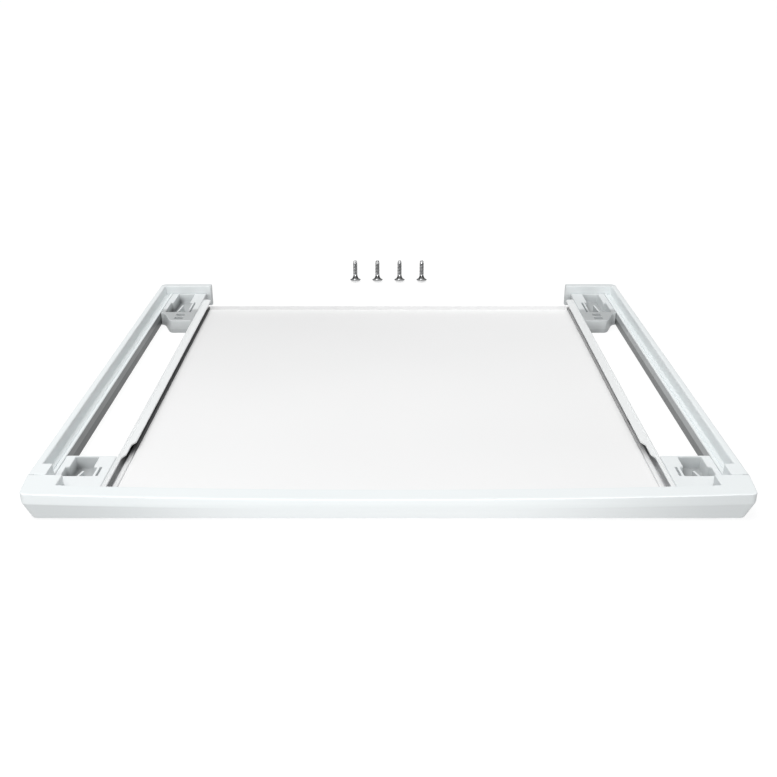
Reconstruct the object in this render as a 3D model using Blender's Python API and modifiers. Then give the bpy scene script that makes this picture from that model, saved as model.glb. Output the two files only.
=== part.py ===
"""Stacking frame with a pull-out shelf, which joins a dryer on top to a washer below.

Two moulded side rails end in low walls at the back. Four moulded pockets, one near each
corner, take the feet of the upper machine. Folded steel guides along the inner sides carry
a sheet steel shelf on rollers, and the bowed front bar is the handle of that shelf. Two
steel straps under the frame tie its sides together, and four loose screws belong to it.

Sizes are in metres. X runs to the right, and the places below are measured in Y from the
middle of the bar's front and in Z from the surface that the frame lies on.
"""

import math

import bmesh
import bpy
from mathutils import Matrix, Vector

# Whole frame
WIDTH = 0.598
HEIGHT = 0.027
LENGTH = 0.5648
UNDERSIDE = 0.0005
DECK_HEIGHT = 0.0168
WALL = 0.0024
FIT_GAP = 0.0003
OVERRUN = 0.002
HALF_WIDTH = WIDTH / 2

# Smoothness of round forms
CORNER_STEPS = 3
ROUND_STEPS = 16
PIN_STEPS = 10

# Front bar, the handle of the shelf
BAR_BOW = 0.009
BAR_LAND = 0.0167
BAR_UPPER_BAND = 0.0088
BAR_FLOOR_GAP = 0.0015
BAR_UNDERCUT = 0.0032
BAR_END_WIDTH = 0.029
BAR_END_DEPTH = 0.0415
BAR_END_DRAW = 0.003
BAR_END_TAPER = 0.0055
BAR_CORNER_RADIUS = 0.006
BAR_EDGE_ROUND = 0.0009
BAR_BOW_STEPS = 8
BAR_BAY_COUNT = 8
BAR_END_BAY_COUNT = 2
BAR_TUCK = BAR_LAND - BAR_UNDERCUT
BAR_CREASE_HEIGHT = HEIGHT - BAR_UPPER_BAND
BAR_STEP = HALF_WIDTH - BAR_END_WIDTH
BAR_CLEAR = BAR_BOW * (BAR_STEP / HALF_WIDTH) ** 2 + BAR_LAND + FIT_GAP

# Side rail
RAIL_FRONT = BAR_END_DEPTH + FIT_GAP
RAIL_BREADTH = 0.015
RAIL_LIP = 0.0066
RAIL_RIDGE_RISE = 0.0013
RAIL_GROOVE = 0.0017
RAIL_GROOVE_DEPTH = 0.0008
RAIL_RIDGE = 0.0029
RAIL_EDGE_ROUND = 0.0018
RAIL_SMALL_ROUND = 0.0006
RAIL_END_BLOCK = 0.0193
RAIL_RIB = 0.002
RAIL_RIB_COUNT = 6
RAIL_INNER = HALF_WIDTH - RAIL_BREADTH
RAIL_LEDGE_HEIGHT = DECK_HEIGHT - RAIL_RIDGE_RISE

# Wall at the back of each side rail
REAR_WALL = 0.0095
REAR_WALL_REACH = 0.066
REAR_WALL_CORNER = 0.008
REAR_WALL_END_ROUND = 0.002
REAR_WALL_TOP_ROUND = 0.0011
REAR_WALL_INNER = HALF_WIDTH - REAR_WALL_REACH
REAR_WALL_FRONT = LENGTH - REAR_WALL

# Foot pocket, in the front and at the back of each side
POCKET_BREADTH = 0.0442
POCKET_EDGE_ROUND = 0.0012
POCKET_FLOOR_TOP = 0.005
POCKET_SLIT = 0.0022
GUSSET = 0.0016
FRONT_POCKET_LENGTH = 0.0535
REAR_POCKET_LENGTH = 0.105
FRONT_SLIT_LENGTH = 0.010
FRONT_SLIT = 0.0015
SCREW_SLOT_WIDTH = 0.007
REAR_CORNER_STEPS = 8
POCKET_OUTER = RAIL_INNER - FIT_GAP
POCKET_INNER = POCKET_OUTER - POCKET_BREADTH
FRONT_POCKET_REAR = RAIL_FRONT + FRONT_POCKET_LENGTH
REAR_POCKET_REAR = REAR_WALL_FRONT - FIT_GAP
REAR_POCKET_FRONT = REAR_POCKET_REAR - REAR_POCKET_LENGTH

# Places inside the pockets, as shares of their breadth from the inner side
CAVITY_SIDE_SHARES = (0.265, 0.871)
PAD_SIDE_SHARES = (0.339, 0.799)
SLIT_SHARE = 0.158
GUSSET_SHARE = 0.520
SCREW_SLOT_SHARES = (0.283, 0.518)
GRIP_PAD_SHARES = (0.226, 0.860)
REAR_CORNER_SHARE = 0.593

# Places inside the pockets, as shares of their length from the front
FRONT_CAVITY_SHARES = (0.297, 0.593, 0.942)
REAR_CAVITY_SHARES = (0.295, 0.648, 0.979)
SCREW_SLOT_FRONT_SHARES = (0.043, 0.157)
REAR_CORNER_LENGTH_SHARE = 0.276
REAR_TIE_SHARE = 0.324

# Straps that tie the two sides together
TIE_SHEET = 0.0015
TIE_BREADTH = 0.012
TIE_END_INSET = 0.0045
TIE_TURNED_INSET = 0.0069
TIE_TURNED_HEIGHT = 0.0055
FRONT_TIE_SETBACK = 0.0022
TIE_LEDGE_GAP = 0.001
TIE_SCREW_RADIUS = 0.0015
TIE_SCREW_HEAD_RADIUS = 0.0030
TIE_SCREW_HEAD = 0.0013
TIE_SCREW_LENGTH = 0.0085
TIE_BOSS_RADIUS = 0.0034
TIE_POCKET_SCREW_INSET = 0.0035
TIE_TOP = UNDERSIDE + TIE_SHEET
TIE_HALF_LENGTH = HALF_WIDTH - TIE_END_INSET
FRONT_TIE_FRONT = RAIL_FRONT + FRONT_TIE_SETBACK
REAR_TIE_FRONT = REAR_POCKET_FRONT + REAR_POCKET_LENGTH * REAR_TIE_SHARE

# Grip pads under the pockets
GRIP_PAD = 0.0015
FRONT_GRIP_PAD_GAP = 0.004
FRONT_GRIP_PAD_INSET = 0.0053
REAR_GRIP_PAD_GAP = 0.010
REAR_GRIP_PAD_INSET = 0.009

# Shelf
SHELF_HEIGHT = 0.010
SHEET = 0.0012
SHELF_FLANGE_DROP = 0.005
SHELF_LIP_RISE = 0.005
SHELF_TRAVEL = 0.33
SHELF_FRONT_SET = 0.0013
SHELF_REAR_SETBACK = 0.0563
SHELF_FRONT = BAR_TUCK - SHELF_FRONT_SET
SHELF_REAR = LENGTH - SHELF_REAR_SETBACK

# Guide, a folded steel channel open towards the shelf
GUIDE_SHEET = 0.0015
GUIDE_BREADTH = 0.0103
GUIDE_RISE = 0.0002
GUIDE_FLOOR_REACH = 0.0024
GUIDE_SETBACK = 0.0017
GUIDE_REAR_SETBACK = 0.0263
GUIDE_NOTCH_SIDE_SHARES = (0.301, 0.573)
GUIDE_FIRST_NOTCH_LENGTH = 0.0965
GUIDE_SECOND_NOTCH_LENGTH = 0.071
GUIDE_NOTCH_SLOPE = 0.006
GUIDE_SCREW_SHARE = 0.476
GUIDE_TOP = DECK_HEIGHT + GUIDE_RISE
GUIDE_OUTER = POCKET_INNER - FIT_GAP
GUIDE_INNER = GUIDE_OUTER - GUIDE_BREADTH
GUIDE_FLOOR_INNER = GUIDE_INNER - GUIDE_FLOOR_REACH
GUIDE_FLOOR_TOP = TIE_TOP + FIT_GAP + GUIDE_SHEET
GUIDE_FRONT = BAR_CLEAR + GUIDE_SETBACK
GUIDE_REAR = REAR_WALL_FRONT - GUIDE_REAR_SETBACK

# What the shelf's width and the bar's ledge take from the guides
SHELF_HALF_WIDTH = GUIDE_INNER
TIE_TURNED_HALF_LENGTH = SHELF_HALF_WIDTH - TIE_TURNED_INSET
BAR_LEDGE_HALF_WIDTH = GUIDE_FLOOR_INNER - 2 * FIT_GAP
BAR_LEDGE_REAR = FRONT_TIE_FRONT - TIE_LEDGE_GAP
BAR_LEDGE_LIFT = 0.0005
LEDGE_TOP = SHELF_HEIGHT - SHEET - FIT_GAP
LEDGE_UNDER = LEDGE_TOP - WALL

# Runner, an angle along each side of the shelf
RUNNER_SHEET = 0.0015
RUNNER_OUTER_SHARE = 0.417
RUNNER_EAR = 0.0135
RUNNER_REAR = SHELF_REAR + SHEET
RUNNER_EAR_REAR = SHELF_REAR + RUNNER_EAR
RUNNER_FRONT = BAR_CLEAR
RUNNER_INNER = SHELF_HALF_WIDTH + FIT_GAP
RUNNER_OUTER = GUIDE_INNER + GUIDE_BREADTH * RUNNER_OUTER_SHARE
RUNNER_WEB_OUTER = RUNNER_INNER + RUNNER_SHEET
RUNNER_FOOT = GUIDE_FLOOR_TOP + FIT_GAP

# Rollers and their axles
AXLE_RADIUS = 0.00125
AXLE_HEAD_RADIUS = 0.002
AXLE_HEAD = 0.0004
ROLLER_ROUND = 0.0005
ROLLER_SIDE_GAP = 0.0003
ROLLER_ROOM = 0.0024
FRONT_ROLLER_FLOOR_GAP = 0.0006
FRONT_ROLLER_SETBACK = 0.008
REAR_ROLLER_HEADROOM = 0.0024
REAR_ROLLER_INSET = 0.006
ROLLER_BREADTH = GUIDE_OUTER - GUIDE_SHEET - RUNNER_WEB_OUTER - ROLLER_ROOM
FRONT_ROLLER_PLACE = FRONT_TIE_FRONT - FRONT_ROLLER_SETBACK
FRONT_ROLLER_RADIUS = (LEDGE_TOP - FRONT_ROLLER_FLOOR_GAP) / 2
FRONT_ROLLER_HEIGHT = LEDGE_TOP - FRONT_ROLLER_RADIUS
REAR_ROLLER_PLACE = RUNNER_EAR_REAR - REAR_ROLLER_INSET
REAR_ROLLER_RADIUS = (GUIDE_TOP - GUIDE_SHEET - RUNNER_FOOT - REAR_ROLLER_HEADROOM) / 2
REAR_ROLLER_HEIGHT = RUNNER_FOOT + REAR_ROLLER_RADIUS

# Stop in each guide, which catches the rear roller
STOP_LENGTH = 0.010
STOP_EDGE_ROUND = 0.0006
STOP_INSET = 0.0021
STOP_FOOT = SHELF_HEIGHT + FIT_GAP

# Rivets through the shelf's side flanges and the runners
RIVET_RADIUS = 0.0012
RIVET_HEAD_RADIUS = 0.0018
RIVET_HEAD = 0.0007
RIVET_PLACE_SHARES = (0.127, 0.509, 0.892)

# Screws from below that hold the shelf's front edge inside the bar
SHELF_SCREW_RADIUS = 0.0014
SHELF_SCREW_HEAD_RADIUS = 0.0026
SHELF_SCREW_HEAD = 0.0016
SHELF_SCREW_LENGTH = 0.0125
SHELF_SCREW_INSET = 0.0029
SHELF_SCREW_SHARES = (-0.952, -0.819, 0.819, 0.952)
SHELF_BOSS_RADIUS = 0.0033

# Screws from below that hold the straps, by what they go into
TIE_SCREW_SIDES = {
    "guide": GUIDE_INNER + GUIDE_BREADTH * GUIDE_SCREW_SHARE,
    "pocket": POCKET_INNER + TIE_POCKET_SCREW_INSET,
    "rail": RAIL_INNER + RAIL_BREADTH / 2,
}

# Loose screws, standing on their heads behind the frame
LOOSE_SCREW_SETBACK = 0.0952
LOOSE_SCREW_SPACING = 0.0313
LOOSE_SCREW_COUNT = 4
LOOSE_SCREW_HEIGHT = 0.0315
LOOSE_SCREW_HEAD_RADIUS = 0.0073
LOOSE_SCREW_HEAD = 0.0036
LOOSE_SCREW_RADIUS = 0.0029
LOOSE_SCREW_TIP = 0.0042
LOOSE_SCREW_PLACE = LENGTH + LOOSE_SCREW_SETBACK

# The middle of everything that lies on the surface, screws included
MIDDLE = (LOOSE_SCREW_PLACE + LOOSE_SCREW_HEAD_RADIUS) / 2

MERGE_DISTANCE = 0.000001
PLACE_DIGITS = 7
SHARP_ANGLE = math.radians(50)
SIDES = (("left", -1), ("right", 1))


def clear_scene():
    """Removes what the scene holds."""
    for obj in list(bpy.data.objects):
        bpy.data.objects.remove(obj, do_unlink=True)


def new_collection(name):
    """A collection linked to the scene."""
    collection = bpy.data.collections.new(name)
    bpy.context.scene.collection.children.link(collection)
    return collection


def new_finish(name, colour, roughness, metallic):
    """A Principled material."""
    material = bpy.data.materials.new(name)
    material.use_nodes = True
    shader = material.node_tree.nodes["Principled BSDF"]
    shader.inputs["Base Color"].default_value = (*colour, 1)
    shader.inputs["Roughness"].default_value = roughness
    shader.inputs["Metallic"].default_value = metallic
    return material


def new_empty(name, place, parent=None):
    """An empty that carries other objects."""
    empty = bpy.data.objects.new(name, None)
    empty.location = place
    empty.parent = parent
    kit.objects.link(empty)
    return empty


def round_top(obj, radius):
    """Rounds the edges around the top of an object."""
    bm = bmesh.new()
    bm.from_mesh(obj.data)
    weight = bm.edges.layers.float.new("bevel_weight_edge")
    top = max(vert.co.z for vert in bm.verts)
    for edge in bm.edges:
        at_top = all(top - vert.co.z < MERGE_DISTANCE for vert in edge.verts)
        if at_top and edge.calc_face_angle(0) > SHARP_ANGLE:
            edge[weight] = 1
    bm.to_mesh(obj.data)
    bm.free()
    bevel = obj.modifiers.new("edge_round", "BEVEL")
    bevel.width = radius
    bevel.segments = 2
    bevel.limit_method = "WEIGHT"


def add_piece(name, mesh, finish, parent, edge_round=None):
    """A piece of the frame, with its top edges rounded if a radius is given."""
    piece = bpy.data.objects.new(name, mesh)
    mesh.materials.append(finish)
    piece.parent = parent
    kit.objects.link(piece)
    if edge_round:
        round_top(piece, edge_round)
    return piece


def shape(piece, mesh, operation, edge_round=None):
    """Joins a mesh to a piece, cuts it out of it, or keeps what they share."""
    tool = bpy.data.objects.new(f"{piece.name}_{operation.lower()}", mesh)
    tool.parent = piece.parent
    tool.hide_render = True
    tool.display_type = "WIRE"
    tools.objects.link(tool)
    if edge_round:
        round_top(tool, edge_round)
    boolean = piece.modifiers.new(operation.lower(), "BOOLEAN")
    boolean.operation = operation
    boolean.solver = "EXACT"
    boolean.object = tool


def finished_mesh(bm, name):
    """The mesh of a closed form, its places rounded off and its faces pointing out."""
    for vert in bm.verts:
        vert.co = [round(value, PLACE_DIGITS) for value in vert.co]
    bmesh.ops.recalc_face_normals(bm, faces=bm.faces)
    if bm.calc_volume(signed=True) < 0:
        bmesh.ops.reverse_faces(bm, faces=bm.faces)
    mesh = bpy.data.meshes.new(name)
    bm.to_mesh(mesh)
    bm.free()
    return mesh


def box_mesh(boxes, side=1):
    """Boxes from their low and high corners, mirrored to the left for side -1."""
    bm = bmesh.new()
    for low, high in boxes:
        middle = (Vector(low) + Vector(high)) / 2
        size = Vector(high) - Vector(low)
        middle.x *= side
        matrix = Matrix.Translation(middle) @ Matrix.Diagonal((*size, 1))
        bmesh.ops.create_cube(bm, size=1, matrix=matrix)
    return finished_mesh(bm, "boxes")


def pin_mesh(pins, side=1, along="Z"):
    """Cylinders from the middle of their low end, their radius and their length."""
    bm = bmesh.new()
    turn = Matrix.Rotation(math.pi / 2, 4, "Y") if along == "X" else Matrix.Identity(4)
    for foot, radius, length in pins:
        middle = Vector(foot)
        middle["XYZ".index(along)] += length / 2
        middle.x *= side
        bmesh.ops.create_cone(
            bm,
            cap_ends=True,
            segments=PIN_STEPS,
            radius1=radius,
            radius2=radius,
            depth=length,
            matrix=Matrix.Translation(middle) @ turn,
        )
    return finished_mesh(bm, "pins")


def plate_mesh(outline, low, high, side=1, along="Z"):
    """A flat outline filled and drawn out along Z, Y or X, mirrored for side -1.

    The outline is in X and Y for Z, in X and Z for Y, and in Y and Z for X."""
    curve = bpy.data.curves.new("outline", "CURVE")
    curve.dimensions = "2D"
    curve.fill_mode = "BOTH"
    curve.extrude = (high - low) / 2
    spline = curve.splines.new("POLY")
    spline.points.add(len(outline) - 1)
    for point, (across, up) in zip(spline.points, outline):
        point.co = (across, up, 0, 1)
    spline.use_cyclic_u = True
    holder = bpy.data.objects.new("outline", curve)
    tools.objects.link(holder)
    bpy.context.view_layer.update()
    graph = bpy.context.evaluated_depsgraph_get()
    flat = bpy.data.meshes.new_from_object(holder.evaluated_get(graph))
    bpy.data.objects.remove(holder)

    bm = bmesh.new()
    bm.from_mesh(flat)
    bmesh.ops.remove_doubles(bm, verts=bm.verts, dist=MERGE_DISTANCE)
    for vert in bm.verts:
        across, up, out = vert.co
        out += (low + high) / 2
        place = {"Z": (across, up, out), "Y": (across, out, up), "X": (out, across, up)}
        vert.co = place[along]
        vert.co.x *= side
    return finished_mesh(bm, "plate")


def loft_mesh(rings):
    """A closed form through rings that have the same number of points."""
    bm = bmesh.new()
    loops = [[bm.verts.new(point) for point in ring] for ring in rings]
    for lower, upper in zip(loops, loops[1:]):
        for i in range(len(lower)):
            bm.faces.new((lower[i - 1], lower[i], upper[i], upper[i - 1]))
    bm.faces.new(loops[0])
    bm.faces.new(loops[-1])
    return finished_mesh(bm, "loft")


def add_turned(name, profile, place, finish, parent, closed=False, along="Z"):
    """A turned piece, from a profile of radii and heights that runs down its outer side."""
    mesh = bpy.data.meshes.new(name)
    edges = [(i, i + 1) for i in range(len(profile) - 1)]
    if closed:
        edges.append((len(profile) - 1, 0))
    mesh.from_pydata([(radius, 0, height) for radius, height in profile], edges, [])
    piece = add_piece(name, mesh, finish, parent)
    piece.location = place
    if along == "X":
        piece.rotation_euler.y = math.pi / 2
    screw = piece.modifiers.new("turning", "SCREW")
    screw.angle = math.tau
    screw.steps = ROUND_STEPS
    screw.render_steps = ROUND_STEPS
    screw.use_merge_vertices = True
    screw.merge_threshold = MERGE_DISTANCE
    screw.use_smooth_shade = True
    return piece


def rounded(corners):
    """An outline whose corners, each with a radius, become arcs."""
    outline = []
    for i, (across, up, radius) in enumerate(corners):
        corner = Vector((across, up))
        if not radius:
            outline.append(tuple(corner))
            continue
        back = (Vector(corners[i - 1][:2]) - corner).normalized()
        ahead = (Vector(corners[(i + 1) % len(corners)][:2]) - corner).normalized()
        half_angle = back.angle(ahead) / 2
        reach = radius / math.tan(half_angle)
        centre = corner + (back + ahead).normalized() * radius / math.sin(half_angle)
        first = corner + back * reach - centre
        turn = first.angle_signed(corner + ahead * reach - centre)
        for step in range(CORNER_STEPS + 1):
            arm = Matrix.Rotation(-turn * step / CORNER_STEPS, 2) @ first
            outline.append(tuple(centre + arm))
    return outline


def bow(across):
    """How far the bar's front lies behind its middle at a place along it."""
    return BAR_BOW * (across / HALF_WIDTH) ** 2


def bar_ring(height, tuck_share):
    """The bar's outline at one height, drawn in towards its lower edge."""
    end = HALF_WIDTH - BAR_END_DRAW - BAR_END_TAPER * tuck_share
    flat_end = end - BAR_CORNER_RADIUS

    def front(across):
        return bow(across) * (1 - tuck_share) + BAR_TUCK * tuck_share

    right = []
    for step in range(BAR_BOW_STEPS + 1):
        across = flat_end * step / BAR_BOW_STEPS
        right.append((across, front(across)))
    for step in range(1, CORNER_STEPS + 1):
        angle = math.pi / 2 * step / CORNER_STEPS
        across = flat_end + BAR_CORNER_RADIUS * math.sin(angle)
        right.append((across, front(flat_end) + BAR_CORNER_RADIUS * (1 - math.cos(angle))))
    right.append((HALF_WIDTH, BAR_END_DEPTH))
    right.append((BAR_STEP, BAR_END_DEPTH))
    for step in range(BAR_BOW_STEPS, -1, -1):
        across = BAR_STEP * step / BAR_BOW_STEPS
        right.append((across, bow(across) + BAR_LAND))
    left = [(-across, back) for across, back in reversed(right[1:-1])]
    return [(across, back, height) for across, back in right + left]


def bay_section(across, ledge):
    """The hollow of the bar at a place along it, open downwards, under the ledge if there is one."""
    lean = (BAR_TUCK - bow(across)) / (BAR_CREASE_HEIGHT - BAR_FLOOR_GAP)
    low_front = BAR_TUCK + lean * (BAR_FLOOR_GAP + OVERRUN) + WALL
    rear = bow(across) + BAR_LAND - WALL
    section = [
        (across, low_front, -OVERRUN),
        (across, bow(across) + WALL, BAR_CREASE_HEIGHT),
        (across, bow(across) + WALL, HEIGHT - WALL),
        (across, rear, HEIGHT - WALL),
    ]
    if ledge:
        section.append((across, rear, LEDGE_UNDER))
        rear = BAR_LEDGE_REAR - WALL
        section.append((across, rear, LEDGE_UNDER))
    section.append((across, rear, -OVERRUN))
    return section


def bays(low, high, count, ledge):
    """Hollows of the bar between two places, with a rib on either side of each."""
    width = (high - low) / count
    forms = []
    for bay in range(count):
        start = low + bay * width + WALL / 2
        end = start + width - WALL
        forms.append(loft_mesh([bay_section(start, ledge), bay_section(end, ledge)]))
    return forms


def shelf_screw_sides():
    """Places of the shelf screws along the ledge."""
    return [BAR_LEDGE_HALF_WIDTH * share for share in SHELF_SCREW_SHARES]


def shelf_screw_place(across):
    """Where a shelf screw stands, under the rear edge of the bar's land."""
    return bow(across) + BAR_LAND - SHELF_SCREW_INSET


def shelf_screw_holes(foot, top):
    """Cutters for the shelf screws."""
    return pin_mesh(
        [
            ((across, shelf_screw_place(across), foot), SHELF_SCREW_RADIUS + FIT_GAP, top - foot)
            for across in shelf_screw_sides()
        ]
    )


def add_front_bar():
    """The moulded bar: bowed front, tucked lower band, ledge for the shelf, ribs inside."""
    rings = [
        bar_ring(BAR_FLOOR_GAP, 1),
        bar_ring(BAR_CREASE_HEIGHT, 0),
        bar_ring(HEIGHT, 0),
    ]
    bar = add_piece("front_bar", loft_mesh(rings), white_plastic, drawer, BAR_EDGE_ROUND)

    ledge = (
        (-BAR_LEDGE_HALF_WIDTH, BAR_TUCK + WALL / 2, BAR_FLOOR_GAP + BAR_LEDGE_LIFT),
        (BAR_LEDGE_HALF_WIDTH, BAR_LEDGE_REAR, LEDGE_TOP),
    )
    shape(bar, box_mesh([ledge]), "UNION")

    bay_side = BAR_LEDGE_HALF_WIDTH - WALL
    forms = bays(-bay_side, bay_side, BAR_BAY_COUNT, True)
    forms += bays(BAR_LEDGE_HALF_WIDTH, BAR_STEP, BAR_END_BAY_COUNT, False)
    forms += bays(-BAR_STEP, -BAR_LEDGE_HALF_WIDTH, BAR_END_BAY_COUNT, False)
    for form in forms:
        shape(bar, form, "DIFFERENCE")

    boss_top = HEIGHT - WALL / 2
    bosses = [
        ((across, shelf_screw_place(across), LEDGE_UNDER), SHELF_BOSS_RADIUS, boss_top - LEDGE_UNDER)
        for across in shelf_screw_sides()
    ]
    shape(bar, pin_mesh(bosses), "UNION")

    groove_side = SHELF_HALF_WIDTH + FIT_GAP
    groove = (
        (-groove_side, SHELF_FRONT - FIT_GAP, LEDGE_TOP),
        (groove_side, BAR_LEDGE_REAR + OVERRUN, SHELF_HEIGHT + FIT_GAP),
    )
    end_low = BAR_STEP + WALL
    end_high = HALF_WIDTH - BAR_END_DRAW - BAR_END_TAPER
    end_front = BAR_TUCK + BAR_CORNER_RADIUS
    hollows = [
        ((low, end_front, -OVERRUN), (high, BAR_END_DEPTH - WALL, HEIGHT - WALL))
        for low, high in ((end_low, end_high), (-end_high, -end_low))
    ]
    shape(bar, box_mesh([groove] + hollows), "DIFFERENCE")

    hole_top = LEDGE_UNDER + SHELF_SCREW_LENGTH
    shape(bar, shelf_screw_holes(LEDGE_UNDER - OVERRUN, hole_top), "DIFFERENCE")


def add_shelf():
    """The sheet steel shelf, with side flanges turned down and a rear lip turned up."""
    flange_foot = SHELF_HEIGHT - SHELF_FLANGE_DROP
    inner = SHELF_HALF_WIDTH - SHEET
    section = [
        (-SHELF_HALF_WIDTH, flange_foot),
        (-inner, flange_foot),
        (-inner, SHELF_HEIGHT - SHEET),
        (inner, SHELF_HEIGHT - SHEET),
        (inner, flange_foot),
        (SHELF_HALF_WIDTH, flange_foot),
        (SHELF_HALF_WIDTH, SHELF_HEIGHT),
        (-SHELF_HALF_WIDTH, SHELF_HEIGHT),
    ]
    sheet = plate_mesh(section, SHELF_FRONT, SHELF_REAR, along="Y")
    shelf = add_piece("shelf_panel", sheet, coated_steel, drawer)

    lip = (
        (-SHELF_HALF_WIDTH, SHELF_REAR - SHEET / 2, SHELF_HEIGHT - SHEET),
        (SHELF_HALF_WIDTH, SHELF_REAR + SHEET, SHELF_HEIGHT + SHELF_LIP_RISE),
    )
    shape(shelf, box_mesh([lip]), "UNION")

    relief = (
        (inner - SHEET, SHELF_FRONT - OVERRUN, flange_foot - OVERRUN),
        (SHELF_HALF_WIDTH + SHEET, RUNNER_FRONT, SHELF_HEIGHT - SHEET),
    )
    holes = shelf_screw_holes(SHELF_HEIGHT - SHEET - OVERRUN, SHELF_HEIGHT + OVERRUN)
    shape(shelf, holes, "DIFFERENCE")
    for _, side in SIDES:
        shape(shelf, box_mesh([relief], side), "DIFFERENCE")
        shape(shelf, rivet_holes(side), "DIFFERENCE")


def rivet_height():
    """Height of the rivets, half way up the shelf's flange."""
    return SHELF_HEIGHT - SHEET - (SHELF_FLANGE_DROP - SHEET) / 2


def rivet_places():
    """Places of the rivets along the shelf."""
    return [SHELF_FRONT + (SHELF_REAR - SHELF_FRONT) * share for share in RIVET_PLACE_SHARES]


def rivet_holes(side):
    """Cutters for the rivet holes through a flange and its runner."""
    foot = SHELF_HALF_WIDTH - SHEET - OVERRUN
    length = RUNNER_WEB_OUTER + OVERRUN - foot
    return pin_mesh(
        [((foot, place, rivet_height()), RIVET_RADIUS + FIT_GAP, length) for place in rivet_places()],
        side,
        "X",
    )


def add_runner(name, side):
    """The angle beside the shelf, whose ear at the back carries the rear roller."""
    section = [
        (RUNNER_INNER, RUNNER_FOOT),
        (RUNNER_WEB_OUTER, RUNNER_FOOT),
        (RUNNER_WEB_OUTER, SHELF_HEIGHT - SHEET),
        (RUNNER_OUTER, SHELF_HEIGHT - SHEET),
        (RUNNER_OUTER, SHELF_HEIGHT),
        (RUNNER_INNER, SHELF_HEIGHT),
    ]
    angle = plate_mesh(section, RUNNER_FRONT, RUNNER_EAR_REAR, side, "Y")
    runner = add_piece(f"{name}_shelf_runner", angle, dark_steel, drawer)
    flange_end = (
        (RUNNER_WEB_OUTER, RUNNER_REAR, SHELF_HEIGHT - SHEET - OVERRUN),
        (RUNNER_OUTER + OVERRUN, RUNNER_EAR_REAR + OVERRUN, SHELF_HEIGHT + OVERRUN),
    )
    shape(runner, box_mesh([flange_end], side), "DIFFERENCE")
    shape(runner, rivet_holes(side), "DIFFERENCE")
    axle_foot = (RUNNER_INNER - OVERRUN, REAR_ROLLER_PLACE, REAR_ROLLER_HEIGHT)
    axle_hole = (axle_foot, AXLE_RADIUS + FIT_GAP, RUNNER_SHEET + 2 * OVERRUN)
    shape(runner, pin_mesh([axle_hole], side, "X"), "DIFFERENCE")

    for number, place in enumerate(rivet_places(), 1):
        head = SHELF_HALF_WIDTH - SHEET - FIT_GAP
        start = head - RIVET_HEAD
        profile = [
            (0, RUNNER_WEB_OUTER - start),
            (RIVET_RADIUS, RUNNER_WEB_OUTER - start),
            (RIVET_RADIUS, RIVET_HEAD),
            (RIVET_HEAD_RADIUS, RIVET_HEAD),
            (RIVET_HEAD_RADIUS, RIVET_HEAD / 2),
            (RIVET_RADIUS, 0),
            (0, 0),
        ]
        rivet = add_turned(
            f"{name}_runner_rivet_{number}",
            profile,
            (side * start, place, rivet_height()),
            zinc_steel,
            drawer,
            along="X",
        )
        if side < 0:
            rivet.rotation_euler.z = math.pi


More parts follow.
